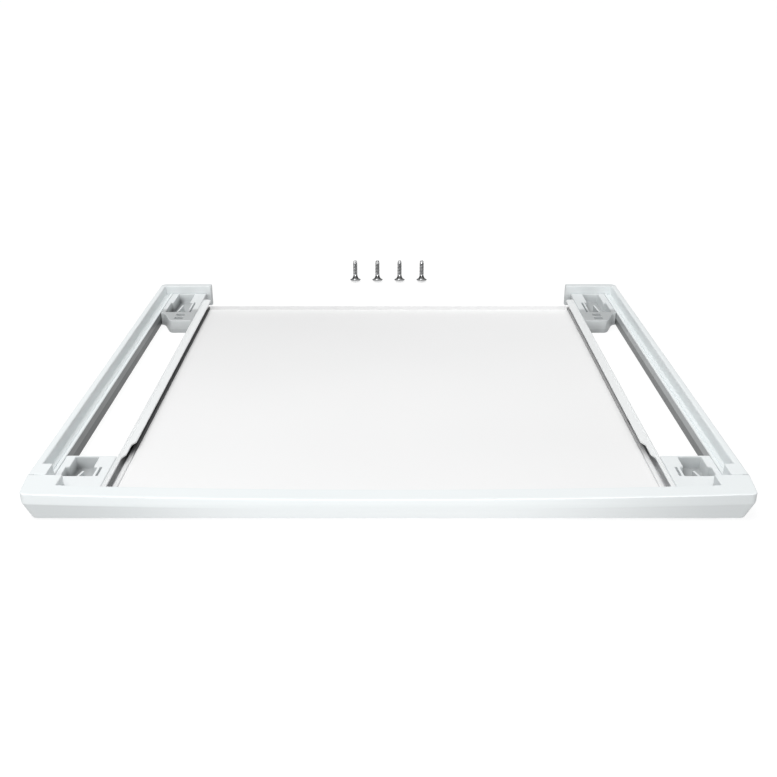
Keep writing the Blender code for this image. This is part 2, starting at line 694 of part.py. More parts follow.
def add_guide(name, side):
    """The folded steel channel, notched where the shelf's roller is dropped in."""
    web_inner = GUIDE_OUTER - GUIDE_SHEET
    floor_foot = GUIDE_FLOOR_TOP - GUIDE_SHEET
    under_top = GUIDE_TOP - GUIDE_SHEET
    section = [
        (GUIDE_FLOOR_INNER, floor_foot),
        (GUIDE_OUTER, floor_foot),
        (GUIDE_OUTER, GUIDE_TOP),
        (GUIDE_INNER, GUIDE_TOP),
        (GUIDE_INNER, under_top),
        (web_inner, under_top),
        (web_inner, GUIDE_FLOOR_TOP),
        (GUIDE_FLOOR_INNER, GUIDE_FLOOR_TOP),
    ]
    channel = plate_mesh(section, GUIDE_FRONT, GUIDE_REAR, side, "Y")
    guide = add_piece(f"{name}_guide_rail", channel, coated_steel, frame)

    first_edge, second_edge = [
        GUIDE_INNER + GUIDE_BREADTH * share for share in GUIDE_NOTCH_SIDE_SHARES
    ]
    first_end = GUIDE_FRONT + GUIDE_FIRST_NOTCH_LENGTH
    second_end = GUIDE_FRONT + GUIDE_SECOND_NOTCH_LENGTH
    notch = [
        (GUIDE_INNER - OVERRUN, GUIDE_FRONT - OVERRUN),
        (second_edge, GUIDE_FRONT - OVERRUN),
        (second_edge, second_end - GUIDE_NOTCH_SLOPE),
        (first_edge, second_end),
        (first_edge, first_end - GUIDE_NOTCH_SLOPE),
        (GUIDE_INNER, first_end),
        (GUIDE_INNER - OVERRUN, first_end),
    ]
    notch_foot = (under_top + GUIDE_FLOOR_TOP) / 2
    shape(guide, plate_mesh(notch, notch_foot, GUIDE_TOP + OVERRUN, side), "DIFFERENCE")

    window_reach = FRONT_ROLLER_RADIUS + 2 * FIT_GAP
    window_front = FRONT_ROLLER_PLACE - window_reach
    window_rear = FRONT_ROLLER_PLACE + window_reach
    roller_window = (
        (RUNNER_WEB_OUTER + FIT_GAP, window_front, floor_foot - OVERRUN),
        (web_inner - FIT_GAP, window_rear, GUIDE_FLOOR_TOP + OVERRUN),
    )
    shape(guide, box_mesh([roller_window], side), "DIFFERENCE")
    axle_foot = (web_inner - OVERRUN, FRONT_ROLLER_PLACE, FRONT_ROLLER_HEIGHT)
    axle_hole = (axle_foot, AXLE_RADIUS + FIT_GAP, GUIDE_SHEET + 2 * OVERRUN)
    shape(guide, pin_mesh([axle_hole], side, "X"), "DIFFERENCE")
    shape(guide, tie_screw_holes([TIE_SCREW_SIDES["guide"]], side), "DIFFERENCE")

    stop_rear = REAR_ROLLER_PLACE - SHELF_TRAVEL - REAR_ROLLER_RADIUS - FIT_GAP
    stop_box = (
        (GUIDE_INNER + STOP_INSET, stop_rear - STOP_LENGTH, STOP_FOOT),
        (web_inner - FIT_GAP, stop_rear, under_top - FIT_GAP),
    )
    stop = box_mesh([stop_box], side)
    add_piece(f"{name}_slide_stop", stop, grey_rubber, frame, STOP_EDGE_ROUND)


def tie_middles():
    """Places of the two straps' middles."""
    return [front + TIE_BREADTH / 2 for front in (FRONT_TIE_FRONT, REAR_TIE_FRONT)]


def tie_screw_holes(sides, side):
    """Cutters for the screws that come up through the straps."""
    length = OVERRUN + UNDERSIDE + TIE_SCREW_LENGTH + FIT_GAP
    return pin_mesh(
        [
            ((place, middle, -OVERRUN), TIE_SCREW_RADIUS + FIT_GAP, length)
            for place in sides
            for middle in tie_middles()
        ],
        side,
    )


def add_roller(name, side, end, place, height, radius, low, parent):
    """A plastic roller, whose object lies on its axle's line."""
    bore = AXLE_RADIUS + FIT_GAP
    profile = [
        (bore, ROLLER_BREADTH / 2),
        (radius - ROLLER_ROUND, ROLLER_BREADTH / 2),
        (radius, ROLLER_BREADTH / 2 - ROLLER_ROUND),
        (radius, ROLLER_ROUND - ROLLER_BREADTH / 2),
        (radius - ROLLER_ROUND, -ROLLER_BREADTH / 2),
        (bore, -ROLLER_BREADTH / 2),
    ]
    middle = (side * (low + ROLLER_BREADTH / 2), place, height)
    carrier = new_empty(f"{name}_{end}_roller_axis", middle, parent)
    add_turned(
        f"{name}_{end}_roller", profile, (0, 0, 0), white_nylon, carrier, closed=True, along="X"
    )


def add_axle(name, side, end, place, height, low, inner_head, outer_head, high, parent):
    """An axle from low to high, with a head before and behind its roller."""
    profile = [
        (0, high - low),
        (AXLE_RADIUS, high - low),
        (AXLE_RADIUS, outer_head + AXLE_HEAD - low),
        (AXLE_HEAD_RADIUS, outer_head + AXLE_HEAD - low),
        (AXLE_HEAD_RADIUS, outer_head - low),
        (AXLE_RADIUS, outer_head - low),
        (AXLE_RADIUS, inner_head + AXLE_HEAD - low),
        (AXLE_HEAD_RADIUS, inner_head + AXLE_HEAD - low),
        (AXLE_HEAD_RADIUS, inner_head - low),
        (0, inner_head - low),
    ]
    axle = add_turned(
        f"{name}_{end}_roller_axle",
        profile,
        (side * low, place, height),
        zinc_steel,
        parent,
        along="X",
    )
    if side < 0:
        axle.rotation_euler.z = math.pi


def add_rollers(name, side):
    """A front roller on the guide and a rear roller on the runner."""
    web_inner = GUIDE_OUTER - GUIDE_SHEET
    front_head = RUNNER_WEB_OUTER + 2 * FIT_GAP
    front_low = front_head + AXLE_HEAD + ROLLER_SIDE_GAP
    front_collar = front_low + ROLLER_BREADTH + FIT_GAP / 2
    front = ("front", FRONT_ROLLER_PLACE, FRONT_ROLLER_HEIGHT)
    add_roller(name, side, *front, FRONT_ROLLER_RADIUS, front_low, frame)
    add_axle(name, side, *front, front_head, front_head, front_collar, GUIDE_OUTER, frame)

    rear_head = RUNNER_INNER - FIT_GAP - AXLE_HEAD
    rear_low = RUNNER_WEB_OUTER + 2 * ROLLER_SIDE_GAP
    rear_collar = rear_low + ROLLER_BREADTH + ROLLER_SIDE_GAP
    rear = ("rear", REAR_ROLLER_PLACE, REAR_ROLLER_HEIGHT)
    add_roller(name, side, *rear, REAR_ROLLER_RADIUS, rear_low, drawer)
    add_axle(name, side, *rear, rear_head, rear_head, rear_collar, rear_collar + AXLE_HEAD, drawer)


def add_side_rail(name, side):
    """The moulded rail with its lip, ledge, ridge and rear wall, hollow from below."""
    lip_inner = HALF_WIDTH - RAIL_LIP
    ridge_outer = RAIL_INNER + RAIL_RIDGE
    groove_outer = ridge_outer + RAIL_GROOVE
    hollow_top = RAIL_LEDGE_HEIGHT - RAIL_GROOVE_DEPTH - WALL
    hollow_low, hollow_high = RAIL_INNER + WALL, HALF_WIDTH - WALL
    section = rounded(
        [
            (HALF_WIDTH, UNDERSIDE, 0),
            (HALF_WIDTH, HEIGHT, RAIL_EDGE_ROUND),
            (lip_inner, HEIGHT, RAIL_EDGE_ROUND),
            (lip_inner, RAIL_LEDGE_HEIGHT, RAIL_SMALL_ROUND),
            (groove_outer, RAIL_LEDGE_HEIGHT, 0),
            (groove_outer, RAIL_LEDGE_HEIGHT - RAIL_GROOVE_DEPTH, 0),
            (ridge_outer, RAIL_LEDGE_HEIGHT - RAIL_GROOVE_DEPTH, 0),
            (ridge_outer, DECK_HEIGHT, RAIL_SMALL_ROUND),
            (RAIL_INNER, DECK_HEIGHT, RAIL_SMALL_ROUND),
            (RAIL_INNER, UNDERSIDE, 0),
            (hollow_low, UNDERSIDE, 0),
            (hollow_low, hollow_top, 0),
            (hollow_high, hollow_top, 0),
            (hollow_high, UNDERSIDE, 0),
        ]
    )
    rail_end = REAR_WALL_FRONT + REAR_WALL / 2
    profile = plate_mesh(section, RAIL_FRONT, rail_end, side, "Y")
    rail = add_piece(f"{name}_side_rail", profile, white_plastic, frame)

    wall_outline = rounded(
        [
            (REAR_WALL_INNER, REAR_WALL_FRONT, 0),
            (HALF_WIDTH, REAR_WALL_FRONT, 0),
            (HALF_WIDTH, LENGTH, REAR_WALL_CORNER),
            (REAR_WALL_INNER, LENGTH, REAR_WALL_END_ROUND),
        ]
    )
    wall = plate_mesh(wall_outline, UNDERSIDE, HEIGHT, side)
    shape(rail, wall, "UNION", REAR_WALL_TOP_ROUND)
    end_block = (
        (RAIL_INNER, RAIL_FRONT, hollow_top + WALL / 2),
        (hollow_high, RAIL_FRONT + RAIL_END_BLOCK, HEIGHT),
    )
    shape(rail, box_mesh([end_block], side), "UNION")

    boss_foot = TIE_TOP + FIT_GAP
    rib_pitch = (rail_end - RAIL_FRONT) / (RAIL_RIB_COUNT + 1)
    ribs = []
    for number in range(1, RAIL_RIB_COUNT + 1):
        place = RAIL_FRONT + number * rib_pitch
        low = (hollow_low - WALL / 2, place - RAIL_RIB / 2, boss_foot)
        high = (hollow_high + WALL / 2, place + RAIL_RIB / 2, hollow_top + WALL / 2)
        ribs.append((low, high))
    shape(rail, box_mesh(ribs, side), "UNION")
    bosses = [
        ((TIE_SCREW_SIDES["rail"], middle, boss_foot), TIE_BOSS_RADIUS, hollow_top + WALL / 2 - boss_foot)
        for middle in tie_middles()
    ]
    shape(rail, pin_mesh(bosses, side), "UNION")

    cuts = [
        (
            (RAIL_INNER - OVERRUN, front - FIT_GAP, -OVERRUN),
            (hollow_low + FIT_GAP, front + TIE_BREADTH + FIT_GAP, boss_foot),
        )
        for front in (FRONT_TIE_FRONT, REAR_TIE_FRONT)
    ]
    wall_hollow = (
        (REAR_WALL_INNER + WALL, REAR_WALL_FRONT + WALL, -OVERRUN),
        (HALF_WIDTH - REAR_WALL_CORNER, LENGTH - WALL, HEIGHT - WALL),
    )
    shape(rail, box_mesh(cuts + [wall_hollow], side), "DIFFERENCE")
    shape(rail, tie_screw_holes([TIE_SCREW_SIDES["rail"]], side), "DIFFERENCE")


def across_pocket(share):
    """A place across a pocket, from its share of the breadth."""
    return POCKET_INNER + POCKET_BREADTH * share


def pocket_cavity(front, middle, rear):
    """Outline of a pocket: wide in front, narrower between the two pads behind."""
    inner_edge, outer_edge = [across_pocket(share) for share in CAVITY_SIDE_SHARES]
    pad_inner, pad_outer = [across_pocket(share) for share in PAD_SIDE_SHARES]
    return [
        (inner_edge, front),
        (outer_edge, front),
        (outer_edge, middle),
        (pad_outer, middle),
        (pad_outer, rear),
        (pad_inner, rear),
        (pad_inner, middle),
        (inner_edge, middle),
    ]


def add_pocket(name, side, outline, cavity, tie_front, pad_ends):
    """A moulded foot pocket with its slit, gusset and recesses, and the grip pad under it."""
    front, middle, rear = cavity
    body = plate_mesh(outline, UNDERSIDE, DECK_HEIGHT, side)
    pocket = add_piece(f"{name}_foot_pocket", body, white_plastic, frame, POCKET_EDGE_ROUND)
    hollow = plate_mesh(pocket_cavity(*cavity), POCKET_FLOOR_TOP, DECK_HEIGHT + OVERRUN, side)
    shape(pocket, hollow, "DIFFERENCE")

    gusset_outline = [
        (front - WALL, POCKET_FLOOR_TOP - WALL / 2),
        (middle, POCKET_FLOOR_TOP - WALL / 2),
        (middle, POCKET_FLOOR_TOP),
        (front, DECK_HEIGHT - FIT_GAP),
        (front - WALL, DECK_HEIGHT - FIT_GAP),
    ]
    gusset_inner = across_pocket(GUSSET_SHARE)
    gusset = plate_mesh(gusset_outline, gusset_inner, gusset_inner + GUSSET, side, "X")
    shape(pocket, gusset, "UNION")

    slit_inner = across_pocket(SLIT_SHARE)
    slit = (
        (slit_inner, front, POCKET_FLOOR_TOP),
        (slit_inner + POCKET_SLIT, middle, DECK_HEIGHT + OVERRUN),
    )
    tie_recess = (
        (POCKET_INNER - OVERRUN, tie_front - FIT_GAP, -OVERRUN),
        (POCKET_OUTER + OVERRUN, tie_front + TIE_BREADTH + FIT_GAP, TIE_TOP + FIT_GAP),
    )
    pad_front, pad_rear = pad_ends
    pad_inner, pad_outer = [across_pocket(share) for share in GRIP_PAD_SHARES]
    pad_recess = (
        (pad_inner - FIT_GAP, pad_front - FIT_GAP, -OVERRUN),
        (pad_outer + FIT_GAP, pad_rear + FIT_GAP, GRIP_PAD + FIT_GAP),
    )
    shape(pocket, box_mesh([slit, tie_recess, pad_recess], side), "DIFFERENCE")
    shape(pocket, tie_screw_holes([TIE_SCREW_SIDES["pocket"]], side), "DIFFERENCE")

    pad = ((pad_inner, pad_front, 0), (pad_outer, pad_rear, GRIP_PAD))
    add_piece(f"{name}_grip_pad", box_mesh([pad], side), grey_rubber, frame)
    return pocket


def add_front_pocket(name, side):
    """The front foot pocket, which fits round the inner corner of the bar's end."""
    outline = [
        (POCKET_INNER, BAR_CLEAR),
        (BAR_STEP - FIT_GAP, BAR_CLEAR),
        (BAR_STEP - FIT_GAP, RAIL_FRONT),
        (POCKET_OUTER, RAIL_FRONT),
        (POCKET_OUTER, FRONT_POCKET_REAR),
        (POCKET_INNER, FRONT_POCKET_REAR),
    ]
    cavity = [RAIL_FRONT + FRONT_POCKET_LENGTH * share for share in FRONT_CAVITY_SHARES]
    pad_front = FRONT_TIE_FRONT + TIE_BREADTH + FRONT_GRIP_PAD_GAP
    pad_ends = (pad_front, FRONT_POCKET_REAR - FRONT_GRIP_PAD_INSET)
    pocket = add_pocket(f"{name}_front", side, outline, cavity, FRONT_TIE_FRONT, pad_ends)
    edge_slit = (
        (POCKET_INNER - OVERRUN, BAR_CLEAR - OVERRUN, -OVERRUN),
        (POCKET_INNER + FRONT_SLIT, BAR_CLEAR + FRONT_SLIT_LENGTH, DECK_HEIGHT + OVERRUN),
    )
    under_deck = (
        (across_pocket(SLIT_SHARE), BAR_CLEAR + WALL, -OVERRUN),
        (BAR_STEP - FIT_GAP - WALL, FRONT_TIE_FRONT - WALL, DECK_HEIGHT - WALL),
    )
    shape(pocket, box_mesh([edge_slit, under_deck], side), "DIFFERENCE")


def add_rear_pocket(name, side):
    """The rear foot pocket, with a swept outer corner and two screw slots."""
    outline = [
        (POCKET_OUTER, REAR_POCKET_REAR),
        (POCKET_INNER, REAR_POCKET_REAR),
        (POCKET_INNER, REAR_POCKET_FRONT),
    ]
    corner_start = across_pocket(REAR_CORNER_SHARE)
    corner_length = REAR_POCKET_LENGTH * REAR_CORNER_LENGTH_SHARE
    for step in range(REAR_CORNER_STEPS + 1):
        share = step / REAR_CORNER_STEPS
        across = corner_start + (POCKET_OUTER - corner_start) * share
        swing = 3 * share**2 - 2 * share**3
        outline.append((across, REAR_POCKET_FRONT + corner_length * swing))
    cavity = [REAR_POCKET_FRONT + REAR_POCKET_LENGTH * share for share in REAR_CAVITY_SHARES]
    pad_front = REAR_TIE_FRONT + TIE_BREADTH + REAR_GRIP_PAD_GAP
    pad_ends = (pad_front, REAR_POCKET_REAR - REAR_GRIP_PAD_INSET)
    pocket = add_pocket(f"{name}_rear", side, outline, cavity, REAR_TIE_FRONT, pad_ends)

    low, high = [across_pocket(share) for share in SCREW_SLOT_SHARES]
    slots = []
    for share in SCREW_SLOT_FRONT_SHARES:
        front = REAR_POCKET_FRONT + REAR_POCKET_LENGTH * share
        slots.append(((low, front, -OVERRUN), (high, front + SCREW_SLOT_WIDTH, DECK_HEIGHT + OVERRUN)))
    shape(pocket, box_mesh(slots, side), "DIFFERENCE")


def sink_mesh(places, middle):
    """Cones that sink the heads of the strap's screws."""
    bm = bmesh.new()
    narrowing = (TIE_SCREW_HEAD_RADIUS - TIE_SCREW_RADIUS) / TIE_SCREW_HEAD
    height = UNDERSIDE + (TIE_SCREW_HEAD - OVERRUN) / 2
    for place in places:
        bmesh.ops.create_cone(
            bm,
            cap_ends=True,
            segments=ROUND_STEPS,
            radius1=TIE_SCREW_HEAD_RADIUS + FIT_GAP + OVERRUN * narrowing,
            radius2=TIE_SCREW_RADIUS + FIT_GAP,
            depth=TIE_SCREW_HEAD + OVERRUN,
            matrix=Matrix.Translation((place, middle, height)),
        )
    return finished_mesh(bm, "sinks")


def add_tie(end, tie_front):
    """A strap across the frame, its edges turned up between the two sides."""
    tie_rear = tie_front + TIE_BREADTH
    strap = (
        (-TIE_HALF_LENGTH, tie_front, UNDERSIDE),
        (TIE_HALF_LENGTH, tie_rear, TIE_TOP),
    )
    tie = add_piece(f"{end}_cross_tie", box_mesh([strap]), zinc_steel, frame)
    turned = [
        (
            (-TIE_TURNED_HALF_LENGTH, low, UNDERSIDE + TIE_SHEET / 2),
            (TIE_TURNED_HALF_LENGTH, low + TIE_SHEET, UNDERSIDE + TIE_TURNED_HEIGHT),
        )
        for low in (tie_front, tie_rear - TIE_SHEET)
    ]
    shape(tie, box_mesh(turned), "UNION")

    middle = tie_front + TIE_BREADTH / 2
    places = [side * place for _, side in SIDES for place in TIE_SCREW_SIDES.values()]
    shape(tie, sink_mesh(places, middle), "DIFFERENCE")
    for _, side in SIDES:
        shape(tie, tie_screw_holes(TIE_SCREW_SIDES.values(), side), "DIFFERENCE")


def add_tie_screws(end, tie_front):
    """The countersunk screws that come up through a strap."""
    for use, across in TIE_SCREW_SIDES.items():
        length = TIE_SCREW_LENGTH
        if use == "guide":
            length = GUIDE_FLOOR_TOP - UNDERSIDE - FIT_GAP / 2
        profile = [
            (0, length),
            (TIE_SCREW_RADIUS, length),
            (TIE_SCREW_RADIUS, TIE_SCREW_HEAD),
            (TIE_SCREW_HEAD_RADIUS, 0),
            (0, 0),
        ]
        for name, side in SIDES:
            place = (side * across, tie_front + TIE_BREADTH / 2, UNDERSIDE)
            add_turned(f"{name}_{end}_{use}_screw", profile, place, zinc_steel, frame)


def add_shelf_screws():
    """The screws that come up from below through the ledge and the shelf's front edge."""
    foot = LEDGE_UNDER - FIT_GAP - SHELF_SCREW_HEAD
    tip = SHELF_SCREW_HEAD + SHELF_SCREW_LENGTH
    profile = [
        (0, tip),
        (SHELF_SCREW_RADIUS, tip - SHELF_SCREW_RADIUS),
        (SHELF_SCREW_RADIUS, SHELF_SCREW_HEAD),
        (SHELF_SCREW_HEAD_RADIUS, SHELF_SCREW_HEAD),
        (SHELF_SCREW_HEAD_RADIUS, SHELF_SCREW_HEAD / 2),
        (SHELF_SCREW_HEAD_RADIUS / 2, 0),
        (0, 0),
    ]
    for number, across in enumerate(shelf_screw_sides(), 1):
        place = (across, shelf_screw_place(across), foot)
        add_turned(f"shelf_screw_{number}", profile, place, zinc_steel, drawer)


def add_loose_screws():
    """The four self-tapping screws with wide heads that fix the frame to a worktop."""
    under_head = LOOSE_SCREW_HEAD
    tip_foot = LOOSE_SCREW_HEIGHT - LOOSE_SCREW_TIP
    profile = [
        (0, LOOSE_SCREW_HEIGHT),
        (LOOSE_SCREW_RADIUS / 3, LOOSE_SCREW_HEIGHT),
        (LOOSE_SCREW_RADIUS, tip_foot),
        (LOOSE_SCREW_RADIUS, under_head),
        (LOOSE_SCREW_HEAD_RADIUS, under_head - LOOSE_SCREW_HEAD / 4),
        (LOOSE_SCREW_HEAD_RADIUS, LOOSE_SCREW_HEAD / 2),
        (LOOSE_SCREW_HEAD_RADIUS / 2, 0),
        (0, 0),
    ]
    for number in range(LOOSE_SCREW_COUNT):
        across = (number - (LOOSE_SCREW_COUNT - 1) / 2) * LOOSE_SCREW_SPACING
        place = (across, LOOSE_SCREW_PLACE, 0)
        add_turned(f"loose_screw_{number + 1}", profile, place, zinc_steel, frame)


clear_scene()
kit = new_collection("stacking_frame")
tools = new_collection("cutters")

white_plastic = new_finish("white_plastic", (0.80, 0.83, 0.83), 0.40, 0.0)
coated_steel = new_finish("coated_steel", (0.85, 0.85, 0.85), 0.45, 0.0)
dark_steel = new_finish("dark_steel", (0.03, 0.03, 0.032), 0.50, 0.35)
zinc_steel = new_finish("zinc_steel", (0.62, 0.63, 0.65), 0.28, 1.0)
white_nylon = new_finish("white_nylon", (0.82, 0.82, 0.80), 0.50, 0.0)
grey_rubber = new_finish("grey_rubber", (0.10, 0.10, 0.11), 0.85, 0.0)

frame = new_empty("frame_origin", (0, -MIDDLE, 0))
drawer = new_empty("drawer_origin", (0, 0, 0), frame)

add_front_bar()
add_shelf()
add_shelf_screws()
for side_name, side_sign in SIDES:
    add_side_rail(side_name, side_sign)
    add_front_pocket(side_name, side_sign)
    add_rear_pocket(side_name, side_sign)
    add_guide(side_name, side_sign)
    add_runner(side_name, side_sign)
    add_rollers(side_name, side_sign)
for tie_end, tie_place in (("front", FRONT_TIE_FRONT), ("rear", REAR_TIE_FRONT)):
    add_tie(tie_end, tie_place)
    add_tie_screws(tie_end, tie_place)
add_loose_screws()
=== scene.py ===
import math

import bmesh
import bpy
from mathutils import Matrix, Vector


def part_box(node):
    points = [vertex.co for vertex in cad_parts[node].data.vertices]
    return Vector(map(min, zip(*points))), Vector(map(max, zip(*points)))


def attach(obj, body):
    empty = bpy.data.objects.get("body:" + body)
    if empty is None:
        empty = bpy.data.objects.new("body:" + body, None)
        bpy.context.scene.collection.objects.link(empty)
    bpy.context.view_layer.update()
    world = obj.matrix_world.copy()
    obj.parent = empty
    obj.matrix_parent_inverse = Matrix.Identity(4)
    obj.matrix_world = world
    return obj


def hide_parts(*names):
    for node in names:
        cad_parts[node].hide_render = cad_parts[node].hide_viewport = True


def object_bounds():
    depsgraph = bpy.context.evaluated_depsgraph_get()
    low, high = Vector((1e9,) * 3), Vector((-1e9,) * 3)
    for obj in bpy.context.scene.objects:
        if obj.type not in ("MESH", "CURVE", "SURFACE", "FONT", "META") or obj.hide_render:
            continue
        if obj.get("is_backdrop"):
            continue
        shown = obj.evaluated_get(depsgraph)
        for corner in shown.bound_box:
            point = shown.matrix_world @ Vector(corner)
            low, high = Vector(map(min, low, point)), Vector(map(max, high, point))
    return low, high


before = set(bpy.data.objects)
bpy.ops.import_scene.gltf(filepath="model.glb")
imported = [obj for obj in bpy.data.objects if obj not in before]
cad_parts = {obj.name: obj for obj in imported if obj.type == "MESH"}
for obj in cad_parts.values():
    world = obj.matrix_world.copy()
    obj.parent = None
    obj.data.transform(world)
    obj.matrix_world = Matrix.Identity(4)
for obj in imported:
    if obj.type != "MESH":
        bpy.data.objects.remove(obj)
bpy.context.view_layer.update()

# Side rails. Each is one injection moulding in white plastic: a tall outer lip, a sunken ledge
# with a groove and a ridge along it, and a low rounded wall across the back. It is hollow
# underneath, with thin ribs, and the front foot pocket and the bar butt against its end block.
fit_gap = 0.0003
deck_height = 0.0168
wall = 0.0024
overrun = 0.002
bar_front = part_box("front_bar")[0].y
rail_low, rail_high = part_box("right_side_rail")
half_width = rail_high.x
frame_top = rail_high.z
frame_foot = rail_low.z
rail_front = rail_low.y - bar_front
rail_rear = rail_high.y - bar_front
rail_inner = half_width - 0.015
lip_inner = half_width - 0.0066
ledge_height = deck_height - 0.0013
groove_floor = ledge_height - 0.0008
ridge_outer = rail_inner + 0.0029
groove_outer = ridge_outer + 0.0017
rear_wall_front = rail_rear - 0.0095
rear_wall_inner = rail_low.x
end_block_rear = rail_front + 0.0193
hollow_inner = rail_inner + wall
hollow_outer = half_width - wall
hollow_top = groove_floor - wall
rear_corner = 0.008
rear_wall_edge, end_block_edge = 0.0013, 0.0009
rib_count = 14
rib_thickness = 0.0014
rib_joint = 0.0005
rib_foot, rib_top = 0.0025, hollow_top + rib_joint
first_rib, ribless = 0.03, 0.05
tie_room_top = 0.0023
sides = (("left", -1), ("right", 1))
ends = ("front", "rear")


class Value:
    """A number that a node gives, with arithmetic that adds Math nodes."""

    def __init__(self, recipe, socket):
        self.recipe = recipe
        self.socket = socket

    def math(self, operation, *numbers):
        """A Math node on numbers and values."""
        sockets = dict(enumerate(numbers))
        return self.recipe.add("ShaderNodeMath", {"operation": operation}, sockets)

    def __add__(self, other):
        return self.math("ADD", self, other)

    def __mul__(self, other):
        return self.math("MULTIPLY", self, other)

    def __sub__(self, other):
        return self.math("SUBTRACT", self, other)

    def __rsub__(self, other):
        return self.math("SUBTRACT", other, self)

    def __truediv__(self, other):
        return self.math("DIVIDE", self, other)

    def __pow__(self, other):
        return self.math("POWER", self, other)

    def __lt__(self, other):
        return self.math("LESS_THAN", self, other)

    def __gt__(self, other):
        return self.math("GREATER_THAN", self, other)

    def __abs__(self):
        return self.math("ABSOLUTE", self)

    __radd__ = __add__
    __rmul__ = __mul__


class Recipe:
    """A node tree that is written one node at a time."""

    def __init__(self, tree):
        self.tree = tree

    def add(self, kind, settings, sockets, output=0):
        """A node with its settings, then its sockets, and the output that is used."""
        node = self.tree.nodes.new(kind)
        for key, value in settings.items():
            setattr(node, key, value)
        for key, value in sockets.items():
            self.feed(node.inputs[key], value)
        return Value(self, node.outputs[output])

    def feed(self, socket, value):
        """Links a value to a socket, or sets the socket to it."""
        if isinstance(value, Value):
            self.tree.links.new(value.socket, socket)
        else:
            socket.default_value = value


class Finish(Recipe):
    """A material around the Principled shader, patterned on the object's own coordinates."""

    def __init__(self, name, **fixed):
        self.material = bpy.data.materials.new(name)
        self.material.use_nodes = True
        super().__init__(self.material.node_tree)
        self.shader = self.tree.nodes["Principled BSDF"]
        for key, value in fixed.items():
            self.shader.inputs[key.replace("_", " ")].default_value = value
        self.place = self.add("ShaderNodeTexCoord", {}, {}, "Object")

    def noise(self, scale, detail=2.0, stretch=(1, 1, 1)):
        """Noise of a scale per metre, drawn out along an axis by the stretch."""
        place = self.add("ShaderNodeMapping", {}, {"Vector": self.place, "Scale": stretch})
        sockets = {"Vector": place, "Scale": scale, "Detail": detail}
        return self.add("ShaderNodeTexNoise", {}, sockets)

    def axes(self):
        """The place across, along and above the floor."""
        split = self.add("ShaderNodeSeparateXYZ", {}, {"Vector": self.place}).socket.node
        return [Value(self, socket) for socket in split.outputs]

    def fade(self, value, low, high):
        """A share that goes from 0 to 1 as a value goes from low to high."""
        sockets = {"Value": value, "From Min": low, "From Max": high}
        return self.add("ShaderNodeMapRange", {"interpolation_type": "SMOOTHSTEP"}, sockets)

    def blend(self, share, first, second):
        """A colour between two colours."""
        node = self.tree.nodes.new("ShaderNodeMix")
        node.data_type = "RGBA"
        self.feed(node.inputs[0], share)
        for socket, colour in ((node.inputs[6], first), (node.inputs[7], second)):
            self.feed(socket, colour if isinstance(colour, Value) else (*colour, 1))
        return Value(self, node.outputs[2])

    def wear(self, colour, roughness=None, height=None, depth=0.0):
        """Feeds the colour, the roughness and the surface's relief to the shader."""
        self.feed(self.shader.inputs["Base Color"], colour)
        if roughness:
            self.feed(self.shader.inputs["Roughness"], roughness)
        if height:
            relief = self.add("ShaderNodeBump", {}, {"Height": height, "Distance": depth})
            self.feed(self.shader.inputs["Normal"], relief)
        return self.material


def link(name, mesh):
    """Puts a mesh in the scene as an object."""
    piece = bpy.data.objects.new(name, mesh)
    bpy.context.scene.collection.objects.link(piece)
    return piece


def settle(piece):
    """Gives a piece the mesh that its modifiers make, and removes them."""
    bpy.context.view_layer.update()
    graph = bpy.context.evaluated_depsgraph_get()
    mesh = bpy.data.meshes.new_from_object(piece.evaluated_get(graph))
    piece.modifiers.clear()
    piece.data = mesh
    return piece


def form(rings, hoop=False):
    """A closed form through rings with the same number of points, or a hoop back to its start."""
    bm = bmesh.new()
    loops = [[bm.verts.new(point) for point in ring] for ring in rings]
    for lower, upper in zip(loops, loops[1:] + (loops[:1] if hoop else [])):
        for i in range(len(lower)):
            bm.faces.new((lower[i - 1], lower[i], upper[i], upper[i - 1]))
    if not hoop:
        bm.faces.new(loops[0])
        bm.faces.new(loops[-1])
    bmesh.ops.recalc_face_normals(bm, faces=bm.faces)
    if bm.calc_volume(signed=True) < 0:
        bmesh.ops.reverse_faces(bm, faces=bm.faces)
    mesh = bpy.data.meshes.new("form")
    bm.to_mesh(mesh)
    bm.free()
    return mesh


def drawn(outline, low, high, along="Z"):
    """An outline in the two other axes, drawn out between two places along an axis."""
    turn = {"Z": (0, 1, 2), "Y": (0, 2, 1), "X": (2, 0, 1)}[along]
    rings = []
    for end in (low, high):
        rings.append([[(across, up, end)[i] for i in turn] for across, up in outline])
    return form(rings)


def plate(low, high, radius=0.0):
    """The corners of a rectangle between two places, all with one radius."""
    corners = ((low[0], low[1]), (high[0], low[1]), (high[0], high[1]), (low[0], high[1]))
    return [(*corner, radius) for corner in corners]


def block(low, high):
    """A box between two corners, for cutting and joining."""
    return drawn([corner[:2] for corner in plate(low, high)], low[2], high[2])


def rounded(steps, *corners):
    """An outline whose corners, each with a radius, become arcs of some steps."""
    outline = []
    for i, (across, up, radius) in enumerate(corners):
        corner = Vector((across, up))
        if not radius:
            outline.append(tuple(corner))
            continue
        back = (Vector(corners[i - 1][:2]) - corner).normalized()
        ahead = (Vector(corners[(i + 1) % len(corners)][:2]) - corner).normalized()
        half_angle = back.angle(ahead) / 2
        reach = radius / math.tan(half_angle)
        centre = corner + (back + ahead).normalized() * radius / math.sin(half_angle)
        first = corner + back * reach - centre
        turn = first.angle_signed(corner + ahead * reach - centre)
        for step in range(steps + 1):
            outline.append(tuple(centre + Matrix.Rotation(-turn * step / steps, 2) @ first))
    return outline


